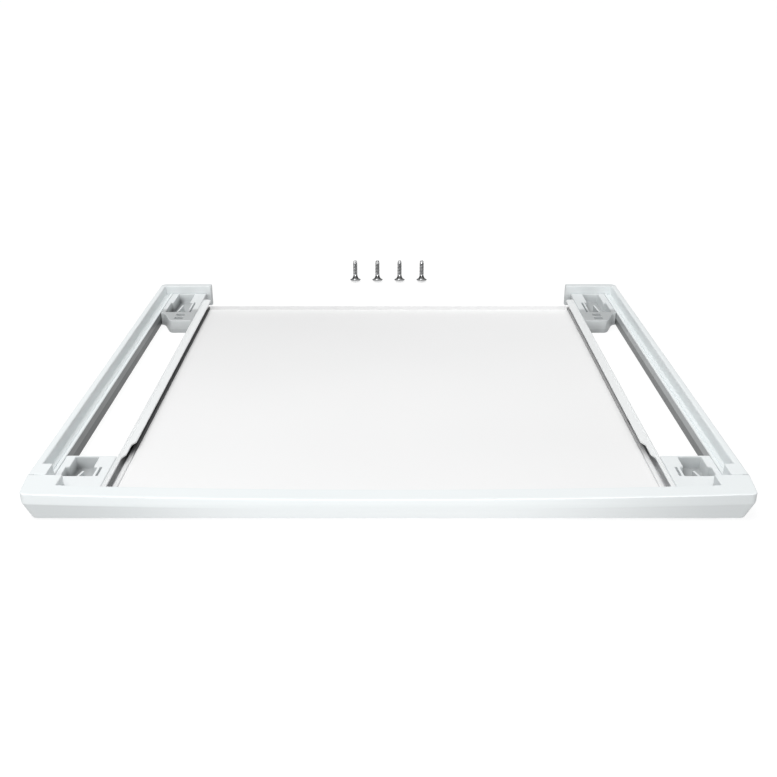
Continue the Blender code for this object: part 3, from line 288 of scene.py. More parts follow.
def drawn_in(outline, inset):
    """An outline moved inwards by a distance, corner by corner."""
    points = [Vector(point) for point in outline]
    area = sum(a.x * b.y - b.x * a.y for a, b in zip(points, points[1:] + points[:1]))
    inwards = 1 if area > 0 else -1
    moved = []
    for i, point in enumerate(points):
        back = (point - points[i - 1]).normalized()
        ahead = (points[(i + 1) % len(points)] - point).normalized()
        normal = Vector((-(back + ahead).y, (back + ahead).x)).normalized() * inwards
        square = Vector((-back.y, back.x)) * inwards
        moved.append(tuple(point + normal * inset / max(normal.dot(square), 0.5)))
    return moved


def quarter(radius, steps):
    """How far in and how far down the points of a quarter circle lie, from its foot to its top."""
    turns = [math.pi / 2 * step / steps for step in range(steps + 1)]
    return [(radius * (1 - math.cos(turn)), radius * (1 - math.sin(turn))) for turn in turns]


def soft_top(outline, foot, top, radius, steps=4):
    """An outline drawn up, with a round edge of a radius at the top."""
    rings = [[(*point, foot) for point in outline]]
    for inset, drop in quarter(radius, steps):
        rings.append([(*point, top - drop) for point in drawn_in(outline, inset)])
    return form(rings)


def carve(piece, operation, *forms):
    """Joins forms to a piece, or cuts them out of it, one after another."""
    for mesh in forms:
        tool = link("tool", mesh)
        change = piece.modifiers.new("change", "BOOLEAN")
        change.operation = operation
        change.solver = "EXACT"
        change.object = tool
        settle(piece)
        bpy.data.objects.remove(tool)
    return piece


def joined(meshes):
    """Several meshes as one."""
    bm = bmesh.new()
    for mesh in meshes:
        bm.from_mesh(mesh)
    whole = bpy.data.meshes.new("joined")
    bm.to_mesh(whole)
    bm.free()
    return whole


def merge_flats(mesh, apart=0.000002, flat=0.4):
    """Merges the points and the flat faces that cutting leaves split."""
    bm = bmesh.new()
    bm.from_mesh(mesh)
    bmesh.ops.remove_doubles(bm, verts=bm.verts, dist=apart)
    limit = math.radians(flat)
    bmesh.ops.dissolve_limit(bm, angle_limit=limit, verts=bm.verts, edges=bm.edges)
    bm.to_mesh(mesh)
    bm.free()


def shade_round(piece, sharp):
    """Smooths the shading of round edges, and keeps the edges that turn by more than an angle."""
    piece.data.shade_smooth()
    piece.data.set_sharp_from_angle(angle=math.radians(sharp))
    return piece


def soften(piece, sharp=35):
    """Smooths the shading of round edges, and keeps flat faces flat beside them."""
    shade_round(piece, sharp)
    normal = piece.modifiers.new("even_shading", "WEIGHTED_NORMAL")
    normal.keep_sharp = True
    return settle(piece)


def stand(piece, name, finish, side=1):
    """Moves a piece from the bar's front to its place, mirrored for the left side."""
    mesh = piece.data.copy()
    mesh.transform(Matrix.Translation((0, bar_front, 0)) @ Matrix.Scale(side, 4, (1, 0, 0)))
    if side < 0:
        mesh.flip_normals()
    mesh.materials.clear()
    mesh.materials.append(finish)
    for polygon in mesh.polygons:
        polygon.material_index = 0
    return link(name, mesh)


class Workshop(Recipe):
    """A Geometry Nodes tree with named sizes, which makes the pieces that repeat."""

    kinds = {int: "NodeSocketInt", float: "NodeSocketFloat", tuple: "NodeSocketVector"}

    def __init__(self, name, **sizes):
        super().__init__(bpy.data.node_groups.new(name, "GeometryNodeTree"))
        self.sizes = sizes
        face = self.tree.interface
        face.new_socket("Geometry", in_out="OUTPUT", socket_type="NodeSocketGeometry")
        face.new_socket("Geometry", in_out="INPUT", socket_type="NodeSocketGeometry")
        for size, value in sizes.items():
            kind = self.kinds.get(type(value), f"NodeSocket{type(value).__name__}")
            face.new_socket(size, in_out="INPUT", socket_type=kind)
        self.inputs = self.tree.nodes.new("NodeGroupInput").outputs
        self.output = self.tree.nodes.new("NodeGroupOutput")

    def size(self, name):
        """One of the tree's inputs."""
        return Value(self, self.inputs[name])

    def row(self):
        """Points in a row, from the tree's first place on."""
        inputs = (("Count", "Count"), ("Start Location", "First"), ("Offset", "Pitch"))
        sockets = {socket: self.size(name) for socket, name in inputs}
        return self.add("GeometryNodeMeshLine", {}, sockets)

    def repeat(self, points, copy, finish):
        """Ends the tree with a copy at each point, turned by chance where the tree has a seed."""
        sockets = {"Points": points, "Instance": copy}
        if "Seed" in self.sizes:
            chance = {3: math.tau, "Seed": self.size("Seed")}
            turn = self.add("FunctionNodeRandomValue", {"data_type": "FLOAT"}, chance, 1)
            sockets["Rotation"] = self.add("ShaderNodeCombineXYZ", {}, {"Z": turn})
        self.end(self.add("GeometryNodeInstanceOnPoints", {}, sockets), finish)

    def end(self, shape, finish):
        """Ends the tree with plain geometry and its finish."""
        shape = self.add("GeometryNodeRealizeInstances", {}, {"Geometry": shape})
        sockets = {"Geometry": shape, "Material": finish}
        self.feed(self.output.inputs[0], self.add("GeometryNodeSetMaterial", {}, sockets))

    def make(self, mesh):
        """The object that the tree makes from a mesh, with every size set."""
        piece = link(self.tree.name, mesh)
        maker = piece.modifiers.new(self.tree.name, "NODES")
        maker.node_group = self.tree
        for item in self.tree.interface.items_tree:
            if item.in_out == "INPUT" and item.name in self.sizes:
                maker[item.identifier] = self.sizes[item.name]
        return settle(piece)


def from_bar(node):
    """A node's low and high corner, measured back from the front of the bar."""
    low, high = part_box(node)
    low.y -= bar_front
    high.y -= bar_front
    return low, high


def tie_room(end, inner, outer):
    """The room under a moulding for a tie, between two places across the frame."""
    low, high = from_bar(f"{end}_cross_tie")
    return block((inner, low.y - fit_gap, -overrun), (outer, high.y + fit_gap, tie_room_top))


def plastic_skin(finish, share, stretch):
    """The white of a moulding with its sheen and grain, darkened by painted shade where the share
    is below 1.
    """
    drift = finish.noise(7.0)
    grain = finish.noise(2400.0, 3.0)
    scuff = finish.noise(90.0, 6.0, stretch)
    white = finish.blend(drift, (0.83, 0.875, 0.885), (0.90, 0.93, 0.935))
    return finish.wear(
        finish.blend(share, (0.020, 0.024, 0.026), white),
        0.34 + scuff * 0.12 + grain * 0.05,
        grain + scuff * 0.4,
        depth=0.00002,
    )


moulded = Finish("moulded_white", Roughness=0.4, IOR=1.49)
mould_across, mould_along, mould_height = moulded.axes()
# Painted shade: the rails' inner walls are drawn dark, darker low down and less dark on the right
# rail, and the rear walls are drawn a little darker.
wall_band = 0.0004
rear_wall_face = rear_wall_front + bar_front
on_wall = (abs(abs(mould_across) - rail_inner) < wall_band) * (mould_height < deck_height - 0.001)
on_wall = on_wall * (mould_along < rear_wall_face - 0.001)
painted_wall_light = 0.080 + moulded.fade(mould_height, 0.0080, 0.0092) * 0.160
painted_wall_light = painted_wall_light * (1.0 + (mould_across > 0.0) * 1.2)
painted_end_shade = (mould_along > rear_wall_face - 0.0005) * 0.13
painted_light_share = 1.0 - on_wall * (1.0 - painted_wall_light) - painted_end_shade
white_plastic = plastic_skin(moulded, painted_light_share, (1, 0.25, 1))

rail_section = rounded(
    5,
    (half_width, frame_foot, 0),
    (half_width, frame_top, 0.0018),
    (lip_inner, frame_top, 0.0016),
    (lip_inner, ledge_height, 0.0007),
    (groove_outer, ledge_height, 0.0002),
    (groove_outer, groove_floor, 0.0002),
    (ridge_outer, groove_floor, 0.0002),
    (ridge_outer, deck_height, 0.0006),
    (rail_inner, deck_height, 0.0008),
    (rail_inner, frame_foot, 0),
    (hollow_inner, frame_foot, 0),
    (hollow_inner, hollow_top, 0.0006),
    (hollow_outer, hollow_top, 0.0006),
    (hollow_outer, frame_foot, 0),
)
rail = link("rail", drawn(rail_section, rail_front, rear_wall_front + wall, "Y"))
rear_wall_outline = rounded(
    8,
    (rear_wall_inner, rear_wall_front, 0.0015),
    (half_width, rear_wall_front, 0),
    (half_width, rail_rear, rear_corner),
    (rear_wall_inner, rail_rear, 0.002),
)
carve(rail, "UNION", soft_top(rear_wall_outline, frame_foot, frame_top, rear_wall_edge))
end_outline = rounded(
    5,
    (rail_inner, rail_front, 0.0011),
    (half_width - wall, rail_front, 0),
    (half_width - wall, end_block_rear, 0),
    (rail_inner, end_block_rear, 0.0012),
)
carve(rail, "UNION", soft_top(end_outline, hollow_top + wall / 2, frame_top, end_block_edge))

rail_ribs = Workshop(
    "rail_ribs",
    Count=rib_count,
    First=((hollow_inner + hollow_outer) / 2, rail_front + first_rib, (rib_foot + rib_top) / 2),
    Pitch=(0.0, (rail_rear - rail_front - ribless) / rib_count, 0.0),
    Rib=(hollow_outer - hollow_inner + 2 * rib_joint, rib_thickness, rib_top - rib_foot),
)
rib = rail_ribs.add("GeometryNodeMeshCube", {}, {"Size": rail_ribs.size("Rib")})
rail_ribs.repeat(rail_ribs.row(), rib, white_plastic)
rib_piece = rail_ribs.make(bpy.data.meshes.new("start"))
rib_mesh = rib_piece.data
bpy.data.objects.remove(rib_piece)
carve(rail, "UNION", rib_mesh)

tie_rooms = [tie_room(end, rail_inner - overrun, hollow_inner + fit_gap) for end in ends]
wall_hollow = block(
    (rear_wall_inner + wall, rear_wall_front + wall, -overrun),
    (half_width - rear_corner, rail_rear - wall, frame_top - wall),
)
carve(rail, "DIFFERENCE", joined(tie_rooms), wall_hollow)
merge_flats(rail.data)
for name, side in sides:
    piece = soften(stand(rail, f"{name}_rail_moulding", white_plastic, side))
    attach(piece, "root")
    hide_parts(f"{name}_side_rail")
bpy.data.objects.remove(rail)

# Foot pockets. Four white mouldings, one near each corner, take the feet of the machine above:
# a wide hollow in front, narrower between two pads, with a sloping gusset and a slit in it.
# Each lies against its rail and is screwed down to the strap below it.
pocket_low, pocket_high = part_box("right_front_foot_pocket")
pocket_outer = rail_inner - fit_gap
pocket_inner = pocket_low.x
pocket_breadth = pocket_outer - pocket_inner
pocket_floor = 0.005
pocket_edge = 0.0012
pocket_corner = 0.0014
cavity_corner, pad_corner = 0.0008, 0.0014
bar_step = half_width - 0.029
bar_clear = pocket_low.y - bar_front
cavity_sides = (0.265, 0.871)
pad_sides = (0.339, 0.799)
gusset_share, gusset_thickness = 0.520, 0.0020
slit_share, slit_width = 0.158, 0.0022


def cavity(front, middle, rear):
    """The hollow of a pocket, its floor edge filleted and its rim eased."""
    wide = [pocket_inner + pocket_breadth * share for share in cavity_sides]
    narrow = [pocket_inner + pocket_breadth * share for share in pad_sides]
    outline = rounded(
        4,
        (wide[0], front, cavity_corner),
        (wide[1], front, cavity_corner),
        (wide[1], middle, cavity_corner),
        (narrow[1], middle, pad_corner),
        (narrow[1], rear, cavity_corner),
        (narrow[0], rear, cavity_corner),
        (narrow[0], middle, pad_corner),
        (wide[0], middle, cavity_corner),
    )
    rings = []
    for height, inset in (
        (pocket_floor, 0.0007),
        (pocket_floor + 0.0002, 0.0003),
        (pocket_floor + 0.0007, 0),
        (deck_height - 0.0010, 0),
        (deck_height - 0.0005, -0.00015),
        (deck_height - 0.0001, -0.0005),
        (deck_height + overrun, -0.0005),
    ):
        rings.append([(*point, height) for point in drawn_in(outline, inset)])
    return form(rings)


def pocket(outline, front, middle, rear, openings):
    """A pocket's body with its cavity, its gusset and its slits."""
    body = link("pocket", soft_top(outline, frame_foot, deck_height, pocket_edge))
    carve(body, "DIFFERENCE", cavity(front, middle, rear))
    gusset_inner = pocket_inner + pocket_breadth * gusset_share
    gusset_foot, gusset_top = pocket_floor - wall / 2, deck_height - 0.0006
    slope = [
        (front - wall, gusset_foot),
        (middle, gusset_foot),
        (middle, deck_height - 0.0040),
        (front + 0.0005, gusset_top),
        (front - wall, gusset_top),
    ]
    carve(body, "UNION", drawn(slope, gusset_inner, gusset_inner + gusset_thickness, "X"))
    slit = pocket_inner + pocket_breadth * slit_share
    openings = openings + [
        block((slit, front, pocket_floor), (slit + slit_width, middle, deck_height + overrun))
    ]
    carve(body, "DIFFERENCE", joined(openings))
    merge_flats(body.data)
    return body


# Painted shade: the pocket white darkens with depth in each hollow, most on the hollow's left side
# and on its floor, and on the rear pockets' apron. The rear pockets are a little darker all over,
# with less painted shade at the far end of their hollows.
pocket_finish = Finish("pocket_white", Roughness=0.42, IOR=1.49)
pocket_drift = pocket_finish.noise(11.0)
pocket_grain = pocket_finish.noise(2400.0, 3.0)
pocket_film = pocket_finish.noise(140.0, 5.0)
pocket_across, pocket_along, pocket_height = pocket_finish.axes()
depth_shade = 1.0 - pocket_finish.fade(pocket_height, pocket_floor - 0.004, deck_height - 0.0002)
cavity_middle = pocket_inner + pocket_breadth * sum(cavity_sides) / 2
from_middle = pocket_across - pocket_across.math("SIGN", pocket_across) * cavity_middle
at_rear = pocket_along > 0.0
shaded_side = 1.0 - pocket_finish.fade(from_middle, -0.013 + at_rear * 0.002, 0.004 - at_rear * 0.005)
rear_low, rear_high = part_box("right_rear_foot_pocket")
rear_pad_front = rear_low.y + 0.047
rear_cavity_front = rear_low.y + 0.0305
rear_apron = at_rear * (1.0 - pocket_finish.fade(pocket_along, rear_pad_front - 0.012, rear_pad_front))
apron_shade = 0.17 + (pocket_height > deck_height - 0.0004) * 0.24
depth_shade = depth_shade * (1.0 - at_rear * (pocket_along < rear_cavity_front) * 0.75)
far_part = at_rear * pocket_finish.fade(pocket_along, rear_pad_front + 0.018, rear_pad_front + 0.024) * 0.8
floor_shade = depth_shade * (pocket_height < pocket_floor + 0.0004) * (0.34 + at_rear * 0.14)
pocket_light_share = (1.0 - depth_shade * (1.0 - far_part) * (0.34 - at_rear * 0.24)) * (1.0 - floor_shade)
pocket_light_share = pocket_light_share * (1.0 - depth_shade * shaded_side * (0.64 + at_rear * 0.22))
pocket_light_share = pocket_light_share * (1.0 - rear_apron * apron_shade) * (1.0 - at_rear * 0.10)
pocket_base_white = pocket_finish.blend(pocket_drift, (0.83, 0.870, 0.880), (0.90, 0.925, 0.930))
pocket_white = pocket_finish.wear(
    pocket_finish.blend(pocket_light_share * (0.97 + pocket_film * 0.05), (0.020, 0.023, 0.025), pocket_base_white),
    0.36 + pocket_film * 0.14,
    pocket_grain + pocket_film * 0.4,
    depth=0.00002,
)

pocket_rooms = {}
for end in ends:
    low, high = from_bar(f"right_{end}_grip_pad")
    pocket_rooms[end] = [
        block(
            (low.x - fit_gap, low.y - fit_gap, -overrun),
            (high.x + fit_gap, high.y + fit_gap, high.z + fit_gap),
        ),
        tie_room(end, pocket_inner - overrun, pocket_outer + overrun),
    ]

front_rear = pocket_high.y - bar_front
front_length = front_rear - rail_front
slit_side, slit_end = pocket_inner + 0.0015, bar_clear + 0.010
front_outline = rounded(
    3,
    (slit_side, bar_clear, pocket_corner),
    (bar_step - fit_gap, bar_clear, pocket_corner),
    (bar_step - fit_gap, rail_front, 0.0004),
    (pocket_outer, rail_front, pocket_corner),
    (pocket_outer, front_rear, pocket_corner),
    (pocket_inner, front_rear, pocket_corner),
    (pocket_inner, slit_end, 0.0013),
    (slit_side, slit_end, 0.00015),
)
front_pocket = pocket(
    front_outline,
    *[rail_front + front_length * share for share in (0.297, 0.593, 0.942)],
    pocket_rooms["front"],
)

rear_front, rear_rear = rear_low.y - bar_front, rear_high.y - bar_front
rear_length = rear_rear - rear_front
sweep_start = pocket_inner + pocket_breadth * 0.52
sweep_depth = rear_length * 0.276
sweep_points = 30
sweep = []
for step in range(sweep_points - 1):
    share = step / sweep_points
    swing = 6 * share**5 - 15 * share**4 + 10 * share**3
    across = sweep_start + (pocket_outer - sweep_start) * share
    sweep.append((across, rear_front + sweep_depth * swing, 0))
rear_outline = rounded(
    3,
    (pocket_outer, rear_rear, pocket_corner),
    (pocket_inner, rear_rear, pocket_corner),
    (pocket_inner, rear_front, 0.0016),
    *sweep,
    (pocket_outer, rear_front + sweep_depth, pocket_corner),
)
slots = []
slot_width, slot_corner = 0.007, 0.0012
slot_inner, slot_outer = [pocket_inner + pocket_breadth * share for share in (0.283, 0.518)]
for share in (0.043, 0.157):
    front = rear_front + rear_length * share
    slot = plate((slot_inner, front), (slot_outer, front + slot_width), slot_corner)
    slots.append(drawn(rounded(4, *slot), -overrun, deck_height + overrun))
rear_pocket = pocket(
    rear_outline,
    *[rear_front + rear_length * share for share in (0.295, 0.648, 0.979)],
    pocket_rooms["rear"] + slots,
)
for end, body in (("front", front_pocket), ("rear", rear_pocket)):
    for name, side in sides:
        piece = stand(body, f"{name}_{end}_pocket_moulding", pocket_white, side)
        soften(piece)
        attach(piece, "root")
        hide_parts(f"{name}_{end}_foot_pocket")
    bpy.data.objects.remove(body)

# Grip pads. A thin strip of soft rubber is let into the underside of each pocket, so that the
# frame doesn't slide on the machine below. Each has cross grooves moulded in its lower face.
rubber = Finish("rubber", Roughness=0.85, IOR=1.5)
rubber_bloom = rubber.noise(160.0, 4.0)
rubber_grain = rubber.noise(3000.0, 2.0)
grey_rubber = rubber.wear(
    rubber.blend(rubber_bloom, (0.045, 0.046, 0.050), (0.085, 0.086, 0.090)),
    0.74 + rubber_bloom * 0.2,
    rubber_grain,
    depth=0.00003,
)
strip_corner, strip_edge = 0.0015, 0.0003
groove_pitch, groove_half, groove_depth = 0.004, 0.0005, 0.0006
for name, side in sides:
    for end in ends:
        low, high = from_bar(f"right_{end}_grip_pad")
        outline = rounded(4, *plate(low, high, strip_corner))
        pad = link("pad", soft_top(outline, low.z, high.z, strip_edge, 2))
        groove_count = int((high.y - low.y) / groove_pitch) - 1
        grooves = []
        for number in range(groove_count):
            place = low.y + (number + 1) * (high.y - low.y) / (groove_count + 1)
            grooves.append(
                block(
                    (low.x - overrun, place - groove_half, -overrun),
                    (high.x + overrun, place + groove_half, groove_depth),
                )
            )
        carve(pad, "DIFFERENCE", joined(grooves))
        piece = soften(stand(pad, f"{name}_{end}_rubber_pad", grey_rubber, side))
        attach(piece, "root")
        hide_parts(f"{name}_{end}_grip_pad")
        bpy.data.objects.remove(pad)

# Guides. Each is one strip of sheet steel folded into a channel that is open towards the shelf
# and painted white, with two shallow beads along its top face. The top is cut back in two
# steps near the front, where the shelf's rollers are dropped in, and its rear corner is round.
guide_low, guide_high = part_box("right_guide_rail")
guide_front, guide_rear = guide_low.y - bar_front, guide_high.y - bar_front
guide_sheet = 0.0015
guide_outer, guide_top = guide_high.x, guide_high.z
flange_width = 0.0103
guide_inner = guide_outer - flange_width
guide_web = guide_outer - guide_sheet
guide_floor_top = guide_low.z + guide_sheet
guide_under_top = guide_top - guide_sheet
first_end, second_end = guide_front + 0.0965, guide_front + 0.071
notch_slope, notch_corner, notch_lead = 0.006, 0.002, 0.0003
window_side, window_gap = 0.0009, 0.0006
cut_foot = guide_floor_top + 0.003

channel = Finish("guide_paint", Roughness=0.35, IOR=1.5)
channel_across, channel_along, channel_height = channel.axes()
inside = (abs(channel_across) < guide_web + 0.0002) * (channel_height < guide_under_top + 0.0002)
in_notch = 1.0 - channel.fade(channel_along, second_end + bar_front - 0.004, first_end + bar_front)
channel_drift = channel.noise(5.0)
channel_peel = channel.noise(520.0, 2.0)
grease = channel.noise(240.0, 5.0, (1, 0.1, 1))
outer_paint = channel.blend(channel_drift, (0.86, 0.88, 0.885), (0.90, 0.915, 0.915))
# Painted shade: behind the notch the inside of the channel is drawn dark grey, less dark on the
# right guide. In the notch it keeps a mottled white, with a painted shade line beside the runner.
inner_shade = channel.blend(grease, (0.15, 0.153, 0.155), (0.26, 0.265, 0.268))
inner_shade = channel.blend((channel_across > 0.0) * 0.50, inner_shade, (0.90,) * 3)
shaded_notch_paint = channel.blend(grease, (0.62, 0.63, 0.64), (0.92, 0.925, 0.93))
beside_runner = 1.0 - channel.fade(abs(channel_across), guide_web - 0.0038, guide_web - 0.0026)
shaded_notch_paint = channel.blend(beside_runner, shaded_notch_paint, (0.035, 0.036, 0.038))
guide_paint = channel.wear(
    channel.blend(inside, outer_paint, channel.blend(in_notch, inner_shade, shaded_notch_paint)),
    0.32 + channel_drift * 0.06 + inside * grease * 0.3,
    channel_peel,
    depth=0.00002,
)

bead_depth, bead_width, bead_corner = 0.00035, 0.0007, 0.00015
beads = []
for share in (0.76, 0.62):
    start = guide_outer - flange_width * (1 - share)
    end = start + bead_width
    beads += [(end, guide_top, bead_corner), (end, guide_top - bead_depth, bead_corner)]
    beads += [(start, guide_top - bead_depth, bead_corner), (start, guide_top, bead_corner)]
guide_section = rounded(
    4,
    (guide_low.x, guide_low.z, 0),
    (guide_outer, guide_low.z, 0.0019),
    (guide_outer, guide_top, 0.0014),
    *beads,
    (guide_inner, guide_top, 0.0005),
    (guide_inner, guide_under_top, 0.0002),
    (guide_web, guide_under_top, 0.0003),
    (guide_web, guide_floor_top, 0.0003),
    (guide_low.x, guide_floor_top, 0),
)
guide = link("guide", drawn(guide_section, guide_front, guide_rear, "Y"))
first_edge, second_edge = [guide_inner + flange_width * share for share in (0.301, 0.573)]
notch = rounded(
    4,
    (guide_low.x - overrun, guide_front - overrun, 0),
    (second_edge, guide_front - overrun, 0),
    (second_edge, second_end - notch_slope, notch_corner),
    (first_edge, second_end, notch_corner),
    (first_edge, first_end - notch_slope, notch_corner),
    (guide_inner, first_end, notch_corner / 2),
    (guide_inner - notch_lead, first_end + notch_lead, 0),
    (guide_low.x - overrun, first_end + notch_lead, 0),
)
flange_cuts = [(notch, cut_foot)]
for edge, way, radius, steps, foot in (
    (guide_inner, 1, 0.005, 8, cut_foot),
    (guide_outer, -1, 0.003, 6, guide_under_top + 0.0001),
):
    outside, behind = edge - way * overrun, guide_rear + overrun
    corner = [(outside, behind), (outside, guide_rear - radius)]
    corner += [(edge + way * aside, guide_rear - back) for aside, back in quarter(radius, steps)]
    corner.append((edge + way * radius, behind))
    flange_cuts.append((corner, foot))
for outline, foot in flange_cuts:
    carve(guide, "DIFFERENCE", drawn(outline, foot, guide_top + overrun))

roller_low, roller_high = from_bar("right_front_roller")
roller_window = block(
    (roller_low.x - window_side, roller_low.y - window_gap, -overrun),
    (guide_web - fit_gap, roller_high.y + window_gap, guide_floor_top + overrun),
)
carve(guide, "DIFFERENCE", roller_window)
merge_flats(guide.data)
for name, side in sides:
    piece = soften(stand(guide, f"{name}_folded_guide", guide_paint, side))
    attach(piece, "root")
    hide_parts(f"{name}_guide_rail")
bpy.data.objects.remove(guide)

# Slide stops. A small rubber block is pushed into each guide, where it catches the shelf's rear
# roller at the end of the travel. A slot across its face lets it give a little.
stop_corner, stop_edge = 0.0012, 0.0006
slit_half, slit_depth = 0.0006, 0.0018
low, high = from_bar("right_slide_stop")
stop_outline = rounded(4, *plate(low, high, stop_corner))
stop = link("stop", soft_top(stop_outline, low.z, high.z, stop_edge))
middle = (low.y + high.y) / 2
stop_slit = block(
    (low.x - overrun, middle - slit_half, high.z - slit_depth),
    (high.x + overrun, middle + slit_half, high.z + overrun),
)
carve(stop, "DIFFERENCE", stop_slit)
for name, side in sides:
    piece = soften(stand(stop, f"{name}_rubber_stop", grey_rubber, side))
    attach(piece, "root")
    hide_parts(f"{name}_slide_stop")
bpy.data.objects.remove(stop)

# Cross ties. Two straps of galvanised sheet steel lie under the frame and hold its sides
# together. Their edges are turned up between the guides, and their ends lie flat.
galvanised = Finish("galvanised_strap", Metallic=1.0, Roughness=0.4)
spangle = galvanised.add(
    "ShaderNodeTexVoronoi", {}, {"Vector": galvanised.place, "Scale": 170.0}, "Color"
)
spangle = galvanised.add("ShaderNodeRGBToBW", {}, {"Color": spangle})
strap_haze = galvanised.noise(900.0, 3.0)
galvanised_steel = galvanised.wear(
    galvanised.blend(spangle, (0.48, 0.49, 0.50), (0.66, 0.67, 0.68)),
    0.30 + spangle * 0.22 + strap_haze * 0.08,
    strap_haze,
    depth=0.00001,
)
tie_sheet = 0.0015
tie_corner = 0.0025
turned_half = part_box("shelf_panel")[1].x - 0.0069
edge_inset, edge_round = 0.00005, 0.0004
sink, sink_steps = ((0.0045, -0.001), (0.0018, 0.0018), (0.0018, 0.004)), 24


def circle(radius, height, steps, middle=(0, 0)):
    """The points of a level circle."""
    points = []
    for step in range(steps):
        turn = math.tau * step / steps
        across, along = radius * math.cos(turn), radius * math.sin(turn)
        points.append((middle[0] + across, middle[1] + along, height))
    return points


for end in ends:
    low, high = from_bar(f"{end}_cross_tie")
    outline = rounded(5, *plate(low, high, tie_corner))
    strap = link("strap", drawn(outline, low.z, low.z + tie_sheet))
    edge_foot = low.z + tie_sheet / 2
    for front in (low.y + edge_inset, high.y - tie_sheet - edge_inset):
        rear = front + tie_sheet
        edge = [(front, edge_foot, 0), (rear, edge_foot, 0)]
        edge += [(rear, high.z, edge_round), (front, high.z, edge_round)]
        carve(strap, "UNION", drawn(rounded(3, *edge), -turned_half, turned_half, "X"))
    sinks = []
    for use in ("guide", "pocket", "rail"):
        for name, side in sides:
            screw_low, screw_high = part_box(f"{name}_{end}_{use}_screw")
            middle = (screw_low + screw_high) / 2
            middle = (middle.x, middle.y - bar_front)
            rings = [circle(radius, height, sink_steps, middle) for radius, height in sink]
            sinks.append(form(rings))
    carve(strap, "DIFFERENCE", joined(sinks))
    merge_flats(strap.data)
    piece = soften(stand(strap, f"{end}_strap", galvanised_steel))
    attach(piece, "root")
    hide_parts(f"{end}_cross_tie")
    bpy.data.objects.remove(strap)

# Tie screws. Twelve countersunk screws with cross recesses come up through the straps, three on
# each side of each strap, into a guide, a pocket and a rail. They are zinc plated steel.
plated = Finish("zinc_plate", Metallic=1.0, Roughness=0.25)
plate_haze = plated.noise(700.0, 4.0)
plate_lines = plated.noise(1500.0, 2.0, (0.1, 0.1, 1))
zinc_plate = plated.wear(
    plated.blend(plate_haze, (0.56, 0.57, 0.59), (0.74, 0.745, 0.75)),
    0.16 + plate_haze * 0.16 + plate_lines * 0.06,
    plate_lines + plate_haze,
    depth=0.000008,
)


def turned(profile, steps=28):
    """A turned form around Z, from radii and heights that run from the axis to the axis."""
    tip_radius = 0.00001
    return form([circle(max(radius, tip_radius), height, steps) for radius, height in profile])


def cross_recess(size, depth):
    """The cross that a driver fits, cut into a head from below, tapered to its bottom."""
    arms = []
    thin = size * 0.22
    for turn in (0, math.pi / 2):
        rings = []
        for height, share in ((-0.001, 1.25), (0, 1.0), (depth, 0.35)):
            long = size * share
            corners = [Vector(corner[:2]) for corner in plate((-long, -thin), (long, thin))]
            rings.append([(*(Matrix.Rotation(turn, 2) @ corner), height) for corner in corners])
        arms.append(form(rings))
    return arms


def foot_of(node, side=0):
    """The middle of a node's foot, or of its end that faces the middle of the frame."""
    low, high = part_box(node)
    across, along, up = [(first + last) / 2 for first, last in zip(low, high)]
    if side:
        return (low.x if side > 0 else high.x, along, up)
    return (across, along, low.z)


def set_out(name, fastener, places, **chance):
    """A fastener repeated at places, each turned by a random angle where a seed is given."""
    workshop = Workshop(name, Fastener=fastener, Plating=zinc_plate, **chance)
    sockets = {"Object": workshop.size("Fastener")}
    copy = workshop.add("GeometryNodeObjectInfo", {}, sockets, "Geometry")
    workshop.repeat(workshop.size("Geometry"), copy, workshop.size("Plating"))
    spots = bpy.data.meshes.new(name)
    spots.from_pydata(places, [], [])
    piece = workshop.make(spots)
    bpy.data.objects.remove(fastener)
    return shade_round(piece, sharp=40)


head_rim, countersink, shank = 0.0030, 0.0014, 0.0015
thread_root, thread_pitch, thread_start = shank * 0.82, 0.0006, 0.0016
for use in ("guide", "pocket", "rail"):
    low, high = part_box(f"right_front_{use}_screw")
    length = high.z - low.z
    profile = [(0, 0), (0.0026, 0), (head_rim, 0.0002), (shank, countersink)]
    for turn in range(int((length - thread_start - 0.0010) / thread_pitch)):
        foot = thread_start + turn * thread_pitch
        profile += [(thread_root, foot), (thread_root, foot + 0.0001), (shank, foot + 0.0003)]
    profile += [(shank * 0.8, length - 0.0003), (0, length)]
    screw = link("tie_screw", turned(profile, 20))
    carve(screw, "DIFFERENCE", *cross_recess(size=0.0016, depth=0.0009))
    names = [f"{name}_{end}_{use}_screw" for name, _ in sides for end in ends]
    places = [foot_of(node) for node in names]
    piece = set_out(f"{use}_tie_screws", screw, places, Seed=3)
    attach(piece, "root")
    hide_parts(*names)

# Rollers and axles. A white nylon roller turns on a plated steel pin at the front of each guide,
# under the shelf's runner, and another at the back of each runner, inside the guide.
nylon = Finish("nylon", Roughness=0.42, IOR=1.53)
nylon_cloud = nylon.noise(260.0, 3.0)
nylon_lines = nylon.noise(900.0, 2.0, (6, 1, 1))
white_nylon = nylon.wear(
    nylon.blend(nylon_cloud, (0.74, 0.73, 0.70), (0.82, 0.815, 0.79)),
    0.36 + nylon_cloud * 0.12,
    nylon_lines,
    depth=0.00001,
)


def on_its_side(mesh, place, side=1):
    """Lays a turned form along X at a place, its foot towards the middle of the frame."""
    mesh.transform(Matrix.Translation(place) @ Matrix.Rotation(side * math.pi / 2, 4, "Y"))
    return mesh


